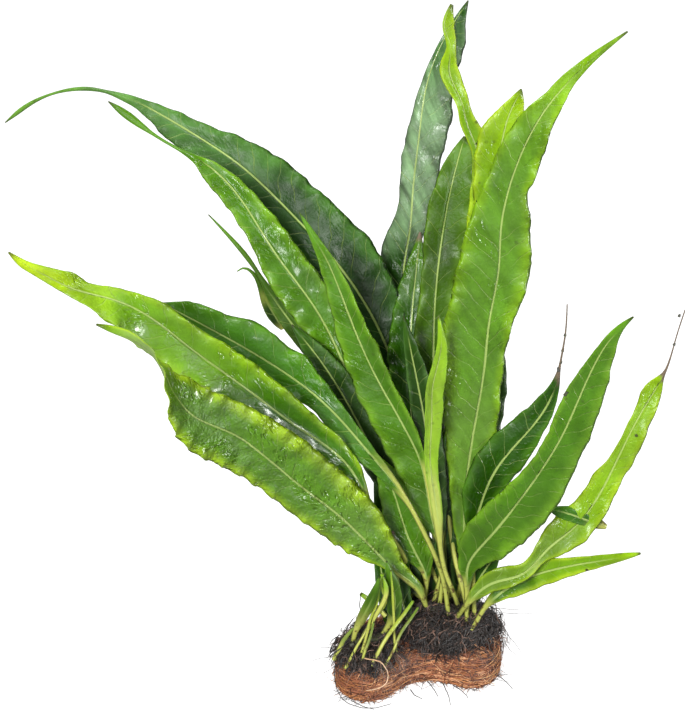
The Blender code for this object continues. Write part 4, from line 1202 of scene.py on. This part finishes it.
# fibres: shared by the coir, the roots and the loose hairs
def makeFibreGroup():
    tree, given = startGroup(
        "fibreSurface",
        dict(Dark=(0.1, 0.04, 0.02), Main=(0.25, 0.1, 0.04), Light=(0.5, 0.25, 0.1)),
        {"Roughness Low": 0.5, "Roughness High": 0.8, "Grain": 900.0, "Light Share": 0.15,
         "Dark Share": 0.3},
        ["Color", "Roughness", "Height"],
    )
    where = ownPlace(tree)
    strand = attribute(tree, "strand", "Fac")
    patch = spread(where, 110, 3)
    grain = spread(where, given["Grain"], 2)
    pick = (strand + (patch - 0.5) * 0.35).held()
    colour = tinted((pick / given["Dark Share"]).ramp(0.2, 1.0), given["Dark"], given["Main"])
    lightest = ((pick - 1 + given["Light Share"]) / given["Light Share"]).ramp(0.0, 0.7)
    colour = tinted(lightest, colour, given["Light"])
    colour = tinted(1.0, colour, grey(tree, 0.7 + grain * 0.6), "MULTIPLY")
    rough = mixed(grain, given["Roughness Low"], given["Roughness High"])
    place(
        tree, "NodeGroupOutput",
        {"Color": colour, "Roughness": rough, "Height": grain},
    )
    return tree


fibreLook = {
    "coir": {
        "Dark": (0.075, 0.022, 0.013), "Main": (0.34, 0.115, 0.046), "Light": (0.72, 0.38, 0.19),
        "Dark Share": 0.5, "Light Share": 0.22,
    },
    "coirBright": dict(
        Dark=(0.32, 0.11, 0.035), Main=(0.58, 0.24, 0.080), Light=(0.78, 0.45, 0.20),
    ),
    "coirCore": dict(
        Dark=(0.050, 0.017, 0.010), Main=(0.070, 0.024, 0.013), Light=(0.12, 0.04, 0.02),
    ),
    "coirPale": dict(
        Dark=(0.42, 0.20, 0.10), Main=(0.60, 0.36, 0.20), Light=(0.72, 0.50, 0.32),
    ),
    "root": {
        "Dark": (0.010, 0.008, 0.007), "Main": (0.026, 0.018, 0.014),
        "Light": (0.26, 0.15, 0.11), "Dark Share": 0.5, "Light Share": 0.13,
        "Roughness Low": 0.35, "Roughness High": 0.65,
    },
    "rootWiry": {
        "Dark": (0.008, 0.006, 0.006), "Main": (0.030, 0.019, 0.015),
        "Light": (0.24, 0.14, 0.10), "Dark Share": 0.6, "Light Share": 0.2,
        "Roughness Low": 0.35, "Roughness High": 0.65,
    },
    "rhizome": {
        "Dark": (0.012, 0.010, 0.006), "Main": (0.045, 0.050, 0.016), "Light": (0.10, 0.13, 0.03),
        "Light Share": 0.4, "Grain": 700.0,
    },
    "rootCore": {
        "Dark": (0.008, 0.006, 0.005), "Main": (0.016, 0.012, 0.010), "Light": (0.03, 0.02, 0.016),
    },
}


def makeFibreMaterials():
    group = makeFibreGroup()
    return {
        name: finishMaterial(name, group, look, dict(strength=0.5, depth=0.0002))
        for name, look in fibreLook.items()
    }


fibres = makeFibreMaterials()


def tubeFrom(tree, curves, radius, sides, material):
    # curves swept with a small ring, closed at the ends
    ring = place(tree, "GeometryNodeCurvePrimitiveCircle", {"Resolution": sides, "Radius": 1.0})
    tube = place(
        tree, "GeometryNodeCurveToMesh",
        {"Curve": curves, "Profile Curve": ring.outputs[0], "Fill Caps": True, "Scale": radius},
    ).outputs[0]
    endTree(tree, tube, material)


def makeRimTree():
    # strands that run along a closed outline, in gentle waves
    tree, given = startTree("coirStrands", {
        "Strands": 800, "Points": 18, "Length": 0.25, "Low": 0.4, "High": 14.4,
        "Stand Out": 0.5, "Wave": 1.6, "Radius": 0.19, "Sides": 3, "Seed": 1, "Material": "",
        "From": 0.0, "To": 1.0,
    })
    outline = place(tree, "GeometryNodeMeshToCurve", {"Mesh": given["Geometry"]}).outputs[0]
    line = place(tree, "GeometryNodeCurvePrimitiveLine").outputs[0]
    line = place(
        tree, "GeometryNodeResampleCurve", {"Curve": line, "Count": given["Points"]}, mode="COUNT"
    ).outputs[0]
    copies = place(
        tree, "GeometryNodeDuplicateElements", {"Geometry": line, "Amount": given["Strands"]},
        domain="SPLINE",
    )
    spline = tree.nodes.new("GeometryNodeSplineParameter")
    curves, which, share = capture(
        tree, copies.outputs["Geometry"], "POINT",
        which=Field(copies.outputs["Duplicate Index"]), share=Field(spline.outputs["Factor"]),
    )

    def draw(shift, low=0.0, high=1.0):
        return randomFor(tree, which, given["Seed"] * 1.0 + shift, low, high)

    start = mixed(draw(1), given["From"], given["To"])
    span = given["Length"] * draw(2, 0.5, 1.5)
    around = (start + span * (share - 0.5) + 1.0).maths("FRACT")
    found = place(
        tree, "GeometryNodeSampleCurve", {"Curves": outline, "Factor": around},
        mode="FACTOR", use_all_curves=True,
    )
    tangent = Field(found.outputs["Tangent"])
    outward = tangent.maths("CROSS_PRODUCT", vector(tree, 0, 0, 1.0))
    odd = which * 3.77
    rise = wander(vector(tree, around * 9.0, odd * 0.35, 2.0)) * given["Wave"]
    rise = rise + (share - 0.5) * draw(3, -4.0, 4.0)
    height = (mixed(draw(4), given["Low"], given["High"]) + rise).most(0.25).least(14.85)
    low = (1 - height / 1.6).most(0)
    high = ((height - 12.4) / 2.4).most(0)
    inset = low * low * 1.3 + high * high * 2.0
    dive = ((share - 0.5) * 2).size() ** 8.0 * 1.4
    stand = draw(5, -0.9, 1.0) * given["Stand Out"] - inset - dive - 0.25
    stand = stand + wander(vector(tree, around * 14.0, odd, 7.0)) * 0.45
    spot = Field(found.outputs["Position"]) + outward.scaled(stand) + vector(tree, 0, 0, height)
    curves = place(
        tree, "GeometryNodeSetPosition", {"Geometry": curves, "Position": spot}
    ).outputs[0]
    curves = store(tree, curves, "strand", draw(6), "FLOAT")
    thick = given["Radius"] * draw(7, 0.6, 1.35) * (1 - ((share - 0.5) * 2).size() ** 6.0 * 0.6)
    tubeFrom(tree, curves, thick, given["Sides"], given["Material"])
    return tree


def makeTangleTree():
    # short curved strands scattered over a surface
    tree, given = startTree("tangledStrands", {
        "Per Square": 1.0, "Points": 9, "Length": 10.0, "Arch": 1.2, "Lift": 0.3, "Tilt": 20.0,
        "Wander": 1.6, "Wander Size": 5.0, "Radius": 0.2, "Sides": 3, "Seed": 1, "Material": "",
    })
    points = place(
        tree, "GeometryNodeDistributePointsOnFaces",
        {"Mesh": given["Geometry"], "Density": given["Per Square"], "Seed": given["Seed"]},
    )
    index = Field(tree.nodes.new("GeometryNodeInputIndex").outputs[0])

    def draw(shift, low=0.0, high=1.0):
        return randomFor(tree, index, given["Seed"] * 1.0 + shift, low, high)

    cloud, tone, thick, odd = capture(
        tree, points.outputs["Points"], "POINT", tone=draw(1), thick=draw(2), odd=draw(3)
    )
    line = place(
        tree, "GeometryNodeCurvePrimitiveLine", {"Start": (-0.5, 0, 0), "End": (0.5, 0, 0)}
    ).outputs[0]
    line = place(
        tree, "GeometryNodeResampleCurve", {"Curve": line, "Count": given["Points"]}, mode="COUNT"
    ).outputs[0]
    x, y, z = Field(tree.nodes.new("GeometryNodeInputPosition").outputs[0]).parts()
    bow = given["Lift"] - x * x * 4 * given["Arch"]
    line = place(
        tree, "GeometryNodeSetPosition", {"Geometry": line, "Position": vector(tree, x, y, bow)}
    ).outputs[0]
    spin = place(
        tree, "FunctionNodeAxisAngleToRotation",
        {"Axis": (0, 0, 1), "Angle": draw(4, 0, 2 * math.pi)},
    )
    lean = place(
        tree, "FunctionNodeAxisAngleToRotation",
        {"Axis": (0, 1, 0), "Angle": given["Tilt"] * (math.pi / 180) * draw(5, -1, 1)},
    )
    turned = place(
        tree, "FunctionNodeRotateRotation",
        {"Rotation": points.outputs["Rotation"], "Rotate By": spin.outputs[0]},
        rotation_space="LOCAL",
    )
    turned = place(
        tree, "FunctionNodeRotateRotation",
        {"Rotation": turned.outputs[0], "Rotate By": lean.outputs[0]}, rotation_space="LOCAL",
    )
    long = given["Length"] * draw(6, 0.5, 1.5)
    curves = place(
        tree, "GeometryNodeInstanceOnPoints",
        {"Points": cloud, "Instance": line, "Rotation": turned.outputs[0],
         "Scale": vector(tree, long, 1.0, 1.0)},
    ).outputs[0]
    curves = place(tree, "GeometryNodeRealizeInstances", {"Geometry": curves}).outputs[0]
    spot = Field(tree.nodes.new("GeometryNodeInputPosition").outputs[0])
    drift = place(
        tree, "ShaderNodeTexNoise",
        {"Vector": spot + vector(tree, odd * 40, odd * 13, 0), "Detail": 2.0,
         "Scale": 1 / given["Wander Size"]},
    )
    drift = Field(drift.outputs["Color"]).maths("SUBTRACT", 0.5)
    x, y, z = (spot + drift.scaled(given["Wander"] * 2.5)).parts()
    curves = place(
        tree, "GeometryNodeSetPosition",
        {"Geometry": curves, "Position": vector(tree, x, y, z.most(given["Radius"]))},
    ).outputs[0]
    curves = store(tree, curves, "strand", tone, "FLOAT")
    share = Field(tree.nodes.new("GeometryNodeSplineParameter").outputs["Factor"])
    taper = 1 - ((share - 0.5) * 2).size() ** 4.0 * 0.7
    tubeFrom(
        tree, curves, given["Radius"] * (0.6 + thick * 0.8) * taper, given["Sides"],
        given["Material"],
    )
    return tree


def makeGuidedTree():
    # strands that follow given lines, with a wiggle that grows away from their root
    tree, given = startTree("guidedStrands", {
        "Step": 1.0, "Wiggle": 0.5, "Wiggle Size": 3.0, "Sides": 4, "Material": "",
    })
    curves = place(tree, "GeometryNodeMeshToCurve", {"Mesh": given["Geometry"]}).outputs[0]
    curves = place(
        tree, "GeometryNodeResampleCurve", {"Curve": curves, "Length": given["Step"]},
        mode="LENGTH",
    ).outputs[0]
    spot = Field(tree.nodes.new("GeometryNodeInputPosition").outputs[0])
    tone = named(tree, "strand")
    drift = place(
        tree, "ShaderNodeTexNoise",
        {"Vector": spot + vector(tree, tone * 60, tone * 31, 0), "Detail": 2.0,
         "Scale": 1 / given["Wiggle Size"]},
    )
    drift = Field(drift.outputs["Color"]).maths("SUBTRACT", 0.5)
    drift = drift.scaled(given["Wiggle"] * 2.5 * named(tree, "loose"))
    x, y, z = (spot + drift).parts()
    thick = named(tree, "thick")
    curves = place(
        tree, "GeometryNodeSetPosition",
        {"Geometry": curves, "Position": vector(tree, x, y, z.most(thick))},
    ).outputs[0]
    tubeFrom(tree, curves, thick, given["Sides"], given["Material"])
    return tree


noise.seed_set(7)  # noise_vector follows the clock until it has a seed


# the coir pad
padLook = dict(
    outline=[
        (-28.8, -3), (-26.5, -11), (-20, -15.4), (-12.5, -13.6), (-5, -6.6), (3, -3.4),
        (10.5, -5), (18, -7.8), (25, -5.4), (29, 3), (26, 13), (14, 18.5), (-6, 19.5), (-22, 12),
    ],
    height=15.0, centre=(0, 6), coreInset=1.1, lumps=0.6,
    # height as a share, and how far that level stands in, in millimetres
    levels=[(0.0, 2.4), (0.03, 1.0), (0.12, 0.3), (0.35, 0.0), (0.6, 0.0), (0.8, 0.2),
            (0.93, 0.9), (1.0, 2.4)],
    inward=[0.9, 0.75, 0.55, 0.35, 0.15],
)


def closedCurve(points, steps):  # a smooth closed curve through the points
    points = np.array(points, float)
    rows = []
    for index in range(len(points)):
        a, b, c, d = (points[(index + shift) % len(points)] for shift in (-1, 0, 1, 2))
        for step in range(steps):
            t = step / steps
            rows.append(b + 0.5 * t * ((c - a) + t * (2 * a - 5 * b + 4 * c - d + t * (
                3 * (b - c) + d - a))))
    return np.array(rows)


def ringMesh(name, rings, bottom, top):
    # rings of points joined into a closed body, with a pole at each end
    count = len(rings[0])
    points = [tuple(map(float, point)) for ring in rings for point in ring]
    faces = []
    for level in range(len(rings) - 1):
        for side in range(count):
            after = (side + 1) % count
            low, high = level * count, (level + 1) * count
            faces.append((low + side, low + after, high + after, high + side))
    for pole, level in ((bottom, 0), (top, len(rings) - 1)):
        points.append(tuple(map(float, pole)))
        for side in range(count):
            corner = level * count + side
            after = level * count + (side + 1) % count
            last = len(points) - 1
            faces.append((corner, after, last) if level else (after, corner, last))
    mesh = bpy.data.meshes.new(name)
    mesh.from_pydata(points, [], faces)
    mesh.shade_smooth()
    return mesh


def padRings(inset, lumps, levels=padLook["levels"]):
    outline = closedCurve(padLook["outline"], 8)
    ahead = np.roll(outline, -1, 0) - np.roll(outline, 1, 0)
    ahead /= np.linalg.norm(ahead, axis=1)[:, None]
    outward = np.stack([ahead[:, 1], -ahead[:, 0]], 1)
    centre = np.array(padLook["centre"], float)
    rings = []
    for share, stand in levels:
        plan = outline - outward * (stand + inset)
        rings.append(np.column_stack([plan, np.full(len(plan), padLook["height"] * share)]))
    for side, start in ((0, rings[0]), (1, rings[-1])):
        inner = []
        for size in padLook["inward"]:
            ring = start.copy()
            ring[:, :2] = centre + (start[:, :2] - centre) * size
            inner.append(ring)
        rings = rings + inner if side else inner[::-1] + rings
    for ring in rings:
        for point in ring:
            shift = noise.noise_vector(Vector(point) * 0.22) * lumps
            stray = np.array(noise.noise_vector(Vector(point) * 0.6)) * lumps * 0.5
            point += np.array(shift) + stray
            point[2] = min(max(point[2], 0.05), padLook["height"] - 0.05)
    return rings


def scaledCopy(mesh, name, material):
    copy = mesh.copy()
    copy.transform(Matrix.Scale(mm, 4))
    copy.materials.clear()
    copy.materials.append(material)
    return addPiece(name, copy)


def makePad():
    centre = padLook["centre"]
    rings = padRings(padLook["coreInset"], padLook["lumps"])
    core = ringMesh("padCore", rings, (*centre, 0.05), (*centre, padLook["height"] - 0.1))
    piece = scaledCopy(core, "coirCore", fibres["coirCore"])
    settle(piece, "coir", "coir_pad")

    outline = [(x, y, 0) for x, y in closedCurve(padLook["outline"], 8)]
    rim = makeRimTree()
    strandSets = {
        "coirRim": {"Strands": 950, "Material": fibres["coir"], "Seed": 11, "Length": 0.16,
                    "Wave": 2.8, "Radius": 0.21},
        "coirRimBright": {
            "Strands": 330, "Material": fibres["coirBright"], "Seed": 31, "Length": 0.10,
            "Stand Out": 0.9, "Wave": 3.4, "Radius": 0.16,
        },
    }
    for name, values in strandSets.items():
        piece = grow(name, guideMesh(name, [outline], closed=True), rim, values)
        settle(piece, "coir")
    tangle = makeTangleTree()
    piece = grow("coirTangle", core.copy(), tangle, {
        "Per Square": 0.5, "Length": 9.0, "Arch": 1.5, "Lift": 1.1, "Radius": 0.16,
        "Wander": 2.4, "Wander Size": 3.5, "Seed": 5, "Material": fibres["coir"],
    })
    settle(piece, "coir")
    print("pad made")
    return core, tangle


padCore, tangleTree = makePad()

# the roots
rootLook = {
    "Left": dict(node="roots_left", density=1.5, seed=3),
    "Right": dict(node="roots_right", density=1.25, seed=9),
}
domeLevels = [(0.0, 0.80), (0.04, 1.0), (0.3, 1.02), (0.62, 0.9), (0.85, 0.66), (0.97, 0.36)]


def makeRoots():
    for side, look in rootLook.items():
        low, high = (corner * 1000 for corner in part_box(look["node"]))
        middle = (low + high) / 2
        half = (high - low) / 2
        rings = []
        for level, size in domeLevels:
            ring = []
            for step in range(48):
                angle = 2 * math.pi * step / 48
                x = middle.x + half.x * size * math.cos(angle)
                y = middle.y + half.y * size * math.sin(angle)
                spot = Vector((x, y, low.z - 1.0 + (high.z - low.z + 0.6) * level))
                ring.append(spot + noise.noise_vector(spot * 0.18) * 1.5)
            rings.append(ring)
        dome = ringMesh("dome" + side, rings, (middle.x, middle.y, low.z - 1.2),
                        (middle.x, middle.y, high.z - 0.4))
        piece = scaledCopy(dome, "rootMass" + side, fibres["rootCore"])
        settle(piece, "root", look["node"])
        piece = grow("rootTangle" + side, dome.copy(), tangleTree, {
            "Per Square": look["density"], "Length": 8.0, "Arch": 1.6, "Lift": 1.1,
            "Wander": 2.6, "Wander Size": 3.5, "Radius": 0.24, "Tilt": 35.0,
            "Seed": look["seed"], "Material": fibres["root"],
        })
        settle(piece, "root")
        piece = grow("rootBramble" + side, dome, tangleTree, {
            "Per Square": 0.17, "Length": 11.0, "Arch": 2.4, "Lift": 3.0, "Wander": 3.4,
            "Wander Size": 3.6, "Radius": 0.15, "Tilt": 55.0, "Seed": look["seed"] + 40,
            "Points": 13, "Material": fibres["rootWiry"],
        })
        settle(piece, "root")
    print("roots made")


makeRoots()


# the rhizomes: knobbly creeping stems under the roots
rhizomeLook = {
    "Front": dict(node="rhizome_front", points=[
        (-24.5, -9.5, 20.2), (-19, -8, 20.6), (-12, -5, 21), (-6, 3, 24.2), (1, 5.5, 25.4),
        (8, 4.3, 25.4), (15, 2, 25.1), (20.5, -1.5, 24.1),
    ]),
    "Back": dict(node="rhizome_back", points=[
        (20, 6, 24.3), (13, 9, 25.4), (7, 11.2, 25.7), (1, 14, 25.7), (-5, 14.5, 25),
    ]),
}
rhizomeShape = dict(radius=1.7)


def makeRhizomes():
    tree = makeGuidedTree()
    for side, look in rhizomeLook.items():
        line = smoothRoute(look["points"], 1.0)
        thick = [
            rhizomeShape["radius"] * (1 + 0.16 * noise.noise(Vector(spot) * 0.9))
            * min(1.0, 0.45 + 0.3 * min(index, len(line) - 1 - index))
            for index, spot in enumerate(line)
        ]
        guide = guideMesh(
            side, [line], thick=thick, strand=[0.4] * len(line), loose=[0.3] * len(line)
        )
        piece = grow("rhizome" + side, guide, tree, {
            "Step": 0.6, "Wiggle": 0.4, "Sides": 14, "Material": fibres["rhizome"],
        })
        settle(piece, "rhizome", look["node"])
        cover = piece.data.copy()
        cover.transform(Matrix.Scale(1000, 4))
        piece = grow("rhizomeHairs" + side, cover, tangleTree, {
            "Per Square": 0.9, "Length": 5.5, "Arch": 1.2, "Lift": 0.7, "Wander": 1.6,
            "Wander Size": 3.0, "Radius": 0.17, "Tilt": 40.0, "Seed": 21,
            "Material": fibres["root"],
        })
        settle(piece, "root")
    print("rhizomes made")
    return tree


guidedTree = makeRhizomes()

# roots that leave the clump, cross the pad and trail over its side
runLook = {
    "Left": dict(centre=(-18.5, -5.5), half=(9.5, 9.5), top=18.6, stop=11.0, count=150, seed=4),
    "Right": dict(centre=(9.8, 6.5), half=(17.0, 10.5), top=24.0, stop=13.0, count=330, seed=8),
}
runShape = dict(step=1.2, shortest=6, longest=19, floor=0.3)


def inPad(x, y, plan):
    inside = False
    for (ax, ay), (bx, by) in zip(plan, np.roll(plan, -1, 0)):
        if (ay > y) != (by > y) and x < ax + (y - ay) / (by - ay) * (bx - ax):
            inside = not inside
    return inside


def rootRun(look, dice, plan):
    # one root, from a point on the mound outwards, resting on the pad or hanging beside it
    angle = dice.uniform(0, 2 * math.pi)
    reach = math.sqrt(dice.uniform(0.1, 1.0))
    x = look["centre"][0] + look["half"][0] * reach * math.cos(angle)
    y = look["centre"][1] + look["half"][1] * reach * math.sin(angle)
    ground = padLook["height"]
    z = ground + (look["top"] - ground) * (1 - reach**4) + dice.uniform(0, 1.6)
    heading = angle + dice.uniform(-0.9, 0.9)
    slope = dice.uniform(-0.5, 0.35)
    line = []
    for _ in range(dice.randint(runShape["shortest"], runShape["longest"])):
        line.append((x, y, z))
        heading += dice.uniform(-0.35, 0.35)
        over = inPad(x, y, plan)
        slope = max(slope - (0.16 if over else 0.45), -8.0)
        pace = runShape["step"] / math.hypot(1, slope)
        x += math.cos(heading) * pace
        y += math.sin(heading) * pace
        z += slope * pace
        lowest = ground + 0.3 if inPad(x, y, plan) else runShape["floor"]
        if z < look["stop"] and dice.random() < 0.6:
            break
        if z < lowest:
            z = lowest + dice.uniform(0, 0.3)
            slope = dice.uniform(0, 0.3)
    return line


def makeRootRuns():
    plan = closedCurve(padLook["outline"], 4)
    for side, look in runLook.items():
        dice = random.Random(look["seed"])
        lines = [rootRun(look, dice, plan) for _ in range(look["count"])]
        thick, strand, loose = [], [], []
        for line in lines:
            radius = dice.uniform(0.10, 0.30)
            tone = dice.random()
            for index in range(len(line)):
                share = index / (len(line) - 1)
                thick.append(radius * (1 - 0.75 * share))
                strand.append(tone)
                loose.append(0.2 + share)
        guide = guideMesh("run" + side, lines, thick=thick, strand=strand, loose=loose)
        piece = grow("rootRuns" + side, guide, guidedTree, {
            "Step": 0.8, "Wiggle": 1.1, "Wiggle Size": 3.0, "Sides": 4,
            "Material": fibres["rootWiry"],
        })
        settle(piece, "root")
    print("loose roots made")


makeRootRuns()

# single strands that stand out: a pale loop, a dark wire, hairs at the side, dry threads
strandLook = {
    "paleLoop": dict(material="coirPale", thick=0.24, tone=0.9, lines=[
        [(-19.3, -16.5, 19.6), (-16.9, -18.5, 20.4), (-14.5, -19.8, 20.6), (-12.5, -20, 18.7),
         (-11.4, -19.6, 15.2), (-11.7, -20, 12.3), (-14.8, -21.2, 10.3), (-18.9, -21.4, 9.6)],
    ]),
    "darkWire": dict(material="root", thick=0.26, tone=0.2, lines=[
        [(-27.6, -9.5, 19.6), (-25.5, -9.5, 22), (-22.3, -9.5, 24.7), (-20.3, -9.5, 31.7),
         (-21, -9.5, 35.8), (-20.8, -9.5, 40.2)],
        [(-28.4, -9, 19), (-27.2, -9.4, 21.4), (-25.8, -9.4, 22.6)],
        [(-31.5, -11, 16.4), (-28.6, -10, 18.4), (-25.4, -9.4, 21), (-22.6, -9.6, 24)],
    ]),
    "sideHairs": dict(material="root", thick=0.10, tone=0.4, lines=[
        [(20, 2, 27), (25, 1, 28.6), (30, -1, 29.4), (37, -3, 30.6)],
        [(21, 1, 26), (27, 0, 27.4), (34, -2, 28), (41, -4, 30)],
        [(22, 0, 25), (26, -2, 25.6), (31, -4, 24.2)],
        [(23, 2, 22), (28, 0, 21), (33, -2, 17), (37, -4, 11)],
        [(22, 4, 21), (28, 3, 18), (31, 1, 13), (35, 0, 9)],
        [(-27, -5, 17), (-31, -7, 17.4), (-34, -9, 18.8), (-38, -11, 21)],
        [(-26, -7, 16), (-31, -9, 15), (-35, -11, 15.6), (-40, -14, 15)],
        [(-27, -9, 15), (-31, -12, 12), (-34, -14, 11.6), (-39, -15, 13.6)],
    ]),
    "threadKnots": dict(material="rhizome", thick=0.55, tone=0.2, lines=[
        [(43.4, -8, 131.6), (43.6, -8, 132.8)], [(43, -8, 127.4), (43.2, -8, 128.4)],
        [(43.9, -8, 137), (44, -8, 137.8)], [(79.4, -9.4, 144.4), (79.6, -9.5, 145.2)],
        [(78.6, -9, 134.2), (78.9, -9, 135)], [(41.8, -29.8, 126.8), (42.6, -30.2, 128.2)],
        [(42.4, -8.4, 124.6), (42.2, -8.2, 126)],
    ]),
    "footHairs": dict(material="root", thick=0.19, tone=0.3, lines=[
        [(-29.6, -6, 9), (-29.6, -10, 5), (-27, -14.6, 1.6), (-22, -18, 0.5), (-15, -18.6, 0.5),
         (-10, -16.6, 0.6)],
        [(-24, -15, 1), (-19, -18.4, 0.5), (-16, -19.4, 0.4)],
        [(3, -3, 0.8), (5, -7.5, 0.4), (6.5, -12, 0.3)],
        [(8, -4, 0.8), (10, -10, 0.4), (10.6, -17, 0.3)],
        [(12, -6, 0.9), (16, -10.5, 0.4), (17, -13, 0.3)],
        [(27, -4, 4), (31, -6, 2), (33, -8, 0.4)],
        [(-3, -8.5, 0.8), (-1, -12, 0.3), (1, -13, 0.3)],
    ]),
}


def makeStrands():
    for name, look in strandLook.items():
        lines = [smoothRoute(line, 1.2) for line in look["lines"]]
        count = sum(len(line) for line in lines)
        taper = [
            look["thick"] * (1 - 0.5 * index / len(line)) for line in lines
            for index in range(len(line))
        ]
        guide = guideMesh(name, lines, thick=taper, strand=[look["tone"]] * count,
                          loose=[0.5] * count)
        piece = grow(name, guide, guidedTree, {
            "Step": 0.7, "Wiggle": 0.7, "Wiggle Size": 4.0, "Sides": 5,
            "Material": fibres[look["material"]],
        })
        settle(piece, "coir" if look["material"] == "coirPale" else "root")
    print("single strands made")


makeStrands()

# short hairs that stand out of the pad's side and foot
fluffLook = {
    "coirFluff": dict(material="coirBright", count=520, longest=5.0, thick=0.09, low=1.5, seed=12),
    "footFluff": dict(material="root", count=150, longest=7.5, thick=0.11, low=6.0, seed=31),
}


def makeFluff(name, look):
    dice = random.Random(look["seed"])
    plan = closedCurve(padLook["outline"], 8)
    ahead = np.roll(plan, -1, 0) - np.roll(plan, 1, 0)
    ahead /= np.linalg.norm(ahead, axis=1)[:, None]
    lines, thick, strand, loose = [], [], [], []
    for _ in range(look["count"]):
        at = dice.randrange(len(plan))
        spot, tangent = plan[at], ahead[at]
        outward = np.array([tangent[1], -tangent[0]])
        z = padLook["height"] * dice.random() ** look["low"]
        way = np.array([*(outward * dice.uniform(0.3, 1.0) + tangent * dice.uniform(-1, 1)),
                        dice.uniform(-0.7, 0.4)])
        reach = dice.uniform(0.3, 1.0) ** 2 * look["longest"]
        tone = dice.random()
        start = np.array([*(spot - outward * 0.8), max(z, 0.5)])
        line = []
        for index in range(5):
            share = index / 4
            bend = np.array([0, 0, -0.12 * index * index * reach / 5])
            point = start + way * reach * share + bend * share
            point[2] = max(point[2], 0.2)
            loose.append(share)
            thick.append(look["thick"] * (1.3 - share))
            strand.append(tone)
            line.append(tuple(point))
        lines.append(line)
    guide = guideMesh("fluff", lines, thick=thick, strand=strand, loose=loose)
    piece = grow(name, guide, guidedTree, {
        "Step": 0.7, "Wiggle": 1.2, "Wiggle Size": 2.5, "Sides": 3,
        "Material": fibres[look["material"]],
    })
    settle(piece, "coir" if name == "coirFluff" else "root")


for name, look in fluffLook.items():
    makeFluff(name, look)
print("pad hairs made")

# floor, light and camera
floorLook = dict(half=2.0, colour=(0.30, 0.30, 0.30), glow=0.95, faint=0.10, roughness=0.9)
lampLook = {
    "key": dict(place=(-0.41, -1.02, 0.66), aim=(-0.02, 0.0, 0.12), size=0.30, power=19.0),
    "top": dict(place=(-0.30, 0.10, 1.25), aim=(0.0, 0.0, 0.12), size=0.5, power=10.0),
    "fill": dict(place=(0.9, -0.7, 0.7), aim=(0.0, 0.0, 0.12), size=0.4, power=4.0),
    "back": dict(place=(0.15, 0.9, 0.9), aim=(0.0, 0.0, 0.12), size=0.6, power=3.0),
    "glintFront": dict(place=(-0.04, -0.88, 0.22), aim=(0.0, 0.0, 0.11), size=0.14, power=4.0),
    "glintSide": dict(place=(0.76, -0.33, 0.05), aim=(-0.04, -0.02, 0.1), size=0.18, power=14.0),
}
worldLook = dict(seen=1.0, light=0.17)
cameraLook = dict(place=(-0.027, -0.5023, 0.3591), down=25, lens=85, sensor=36)


def makeStage():
    half = floorLook["half"]
    mesh = bpy.data.meshes.new("floor")
    corners = [(-half, -half, 0), (half, -half, 0), (half, half, 0), (-half, half, 0)]
    mesh.from_pydata(corners, [], [(0, 1, 2, 3)])
    floor = addPiece("floor", mesh)
    material = bpy.data.materials.new("floorPaper")
    material.use_nodes = True
    shader = material.node_tree.nodes["Principled BSDF"]
    shader.inputs["Base Color"].default_value = (*floorLook["colour"], 1)
    shader.inputs["Roughness"].default_value = floorLook["roughness"]
    shader.inputs["Specular IOR Level"].default_value = 0.1
    shader.inputs["Emission Color"].default_value = (1, 1, 1, 1)
    seen = Field(material.node_tree.nodes.new("ShaderNodeLightPath").outputs["Is Camera Ray"])
    glow = mixed(seen, floorLook["faint"], floorLook["glow"])
    join(shader.inputs["Emission Strength"], glow)
    mesh.materials.append(material)

    world = bpy.data.worlds.new("studio")
    bpy.context.scene.world = world
    world.use_nodes = True
    tree = world.node_tree
    sky = tree.nodes["Background"]
    sky.inputs["Color"].default_value = (1, 1, 1, 1)
    seen = Field(tree.nodes.new("ShaderNodeLightPath").outputs["Is Camera Ray"])
    join(sky.inputs["Strength"], mixed(seen, worldLook["light"], worldLook["seen"]))

    for name, look in lampLook.items():
        data = bpy.data.lights.new(name + "Lamp", "AREA")
        data.size = look["size"]
        data.energy = look["power"]
        lamp = bpy.data.objects.new(name + "Lamp", data)
        lamp.location = look["place"]
        aim = Vector(look["aim"]) - lamp.location
        lamp.rotation_euler = aim.to_track_quat("-Z", "Y").to_euler()
        lamp.visible_diffuse = not name.startswith("glint")
        bpy.context.scene.collection.objects.link(lamp)

    data = bpy.data.cameras.new("camera")
    data.lens = cameraLook["lens"]
    data.sensor_width = cameraLook["sensor"]
    data.clip_start = 0.01
    camera = bpy.data.objects.new("camera", data)
    camera.location = cameraLook["place"]
    camera.rotation_euler = (math.radians(90 - cameraLook["down"]), 0, 0)
    bpy.context.scene.collection.objects.link(camera)
    bpy.context.scene.camera = camera
    bpy.context.scene.view_settings.view_transform = "Standard"
    print("stage set")


makeStage()
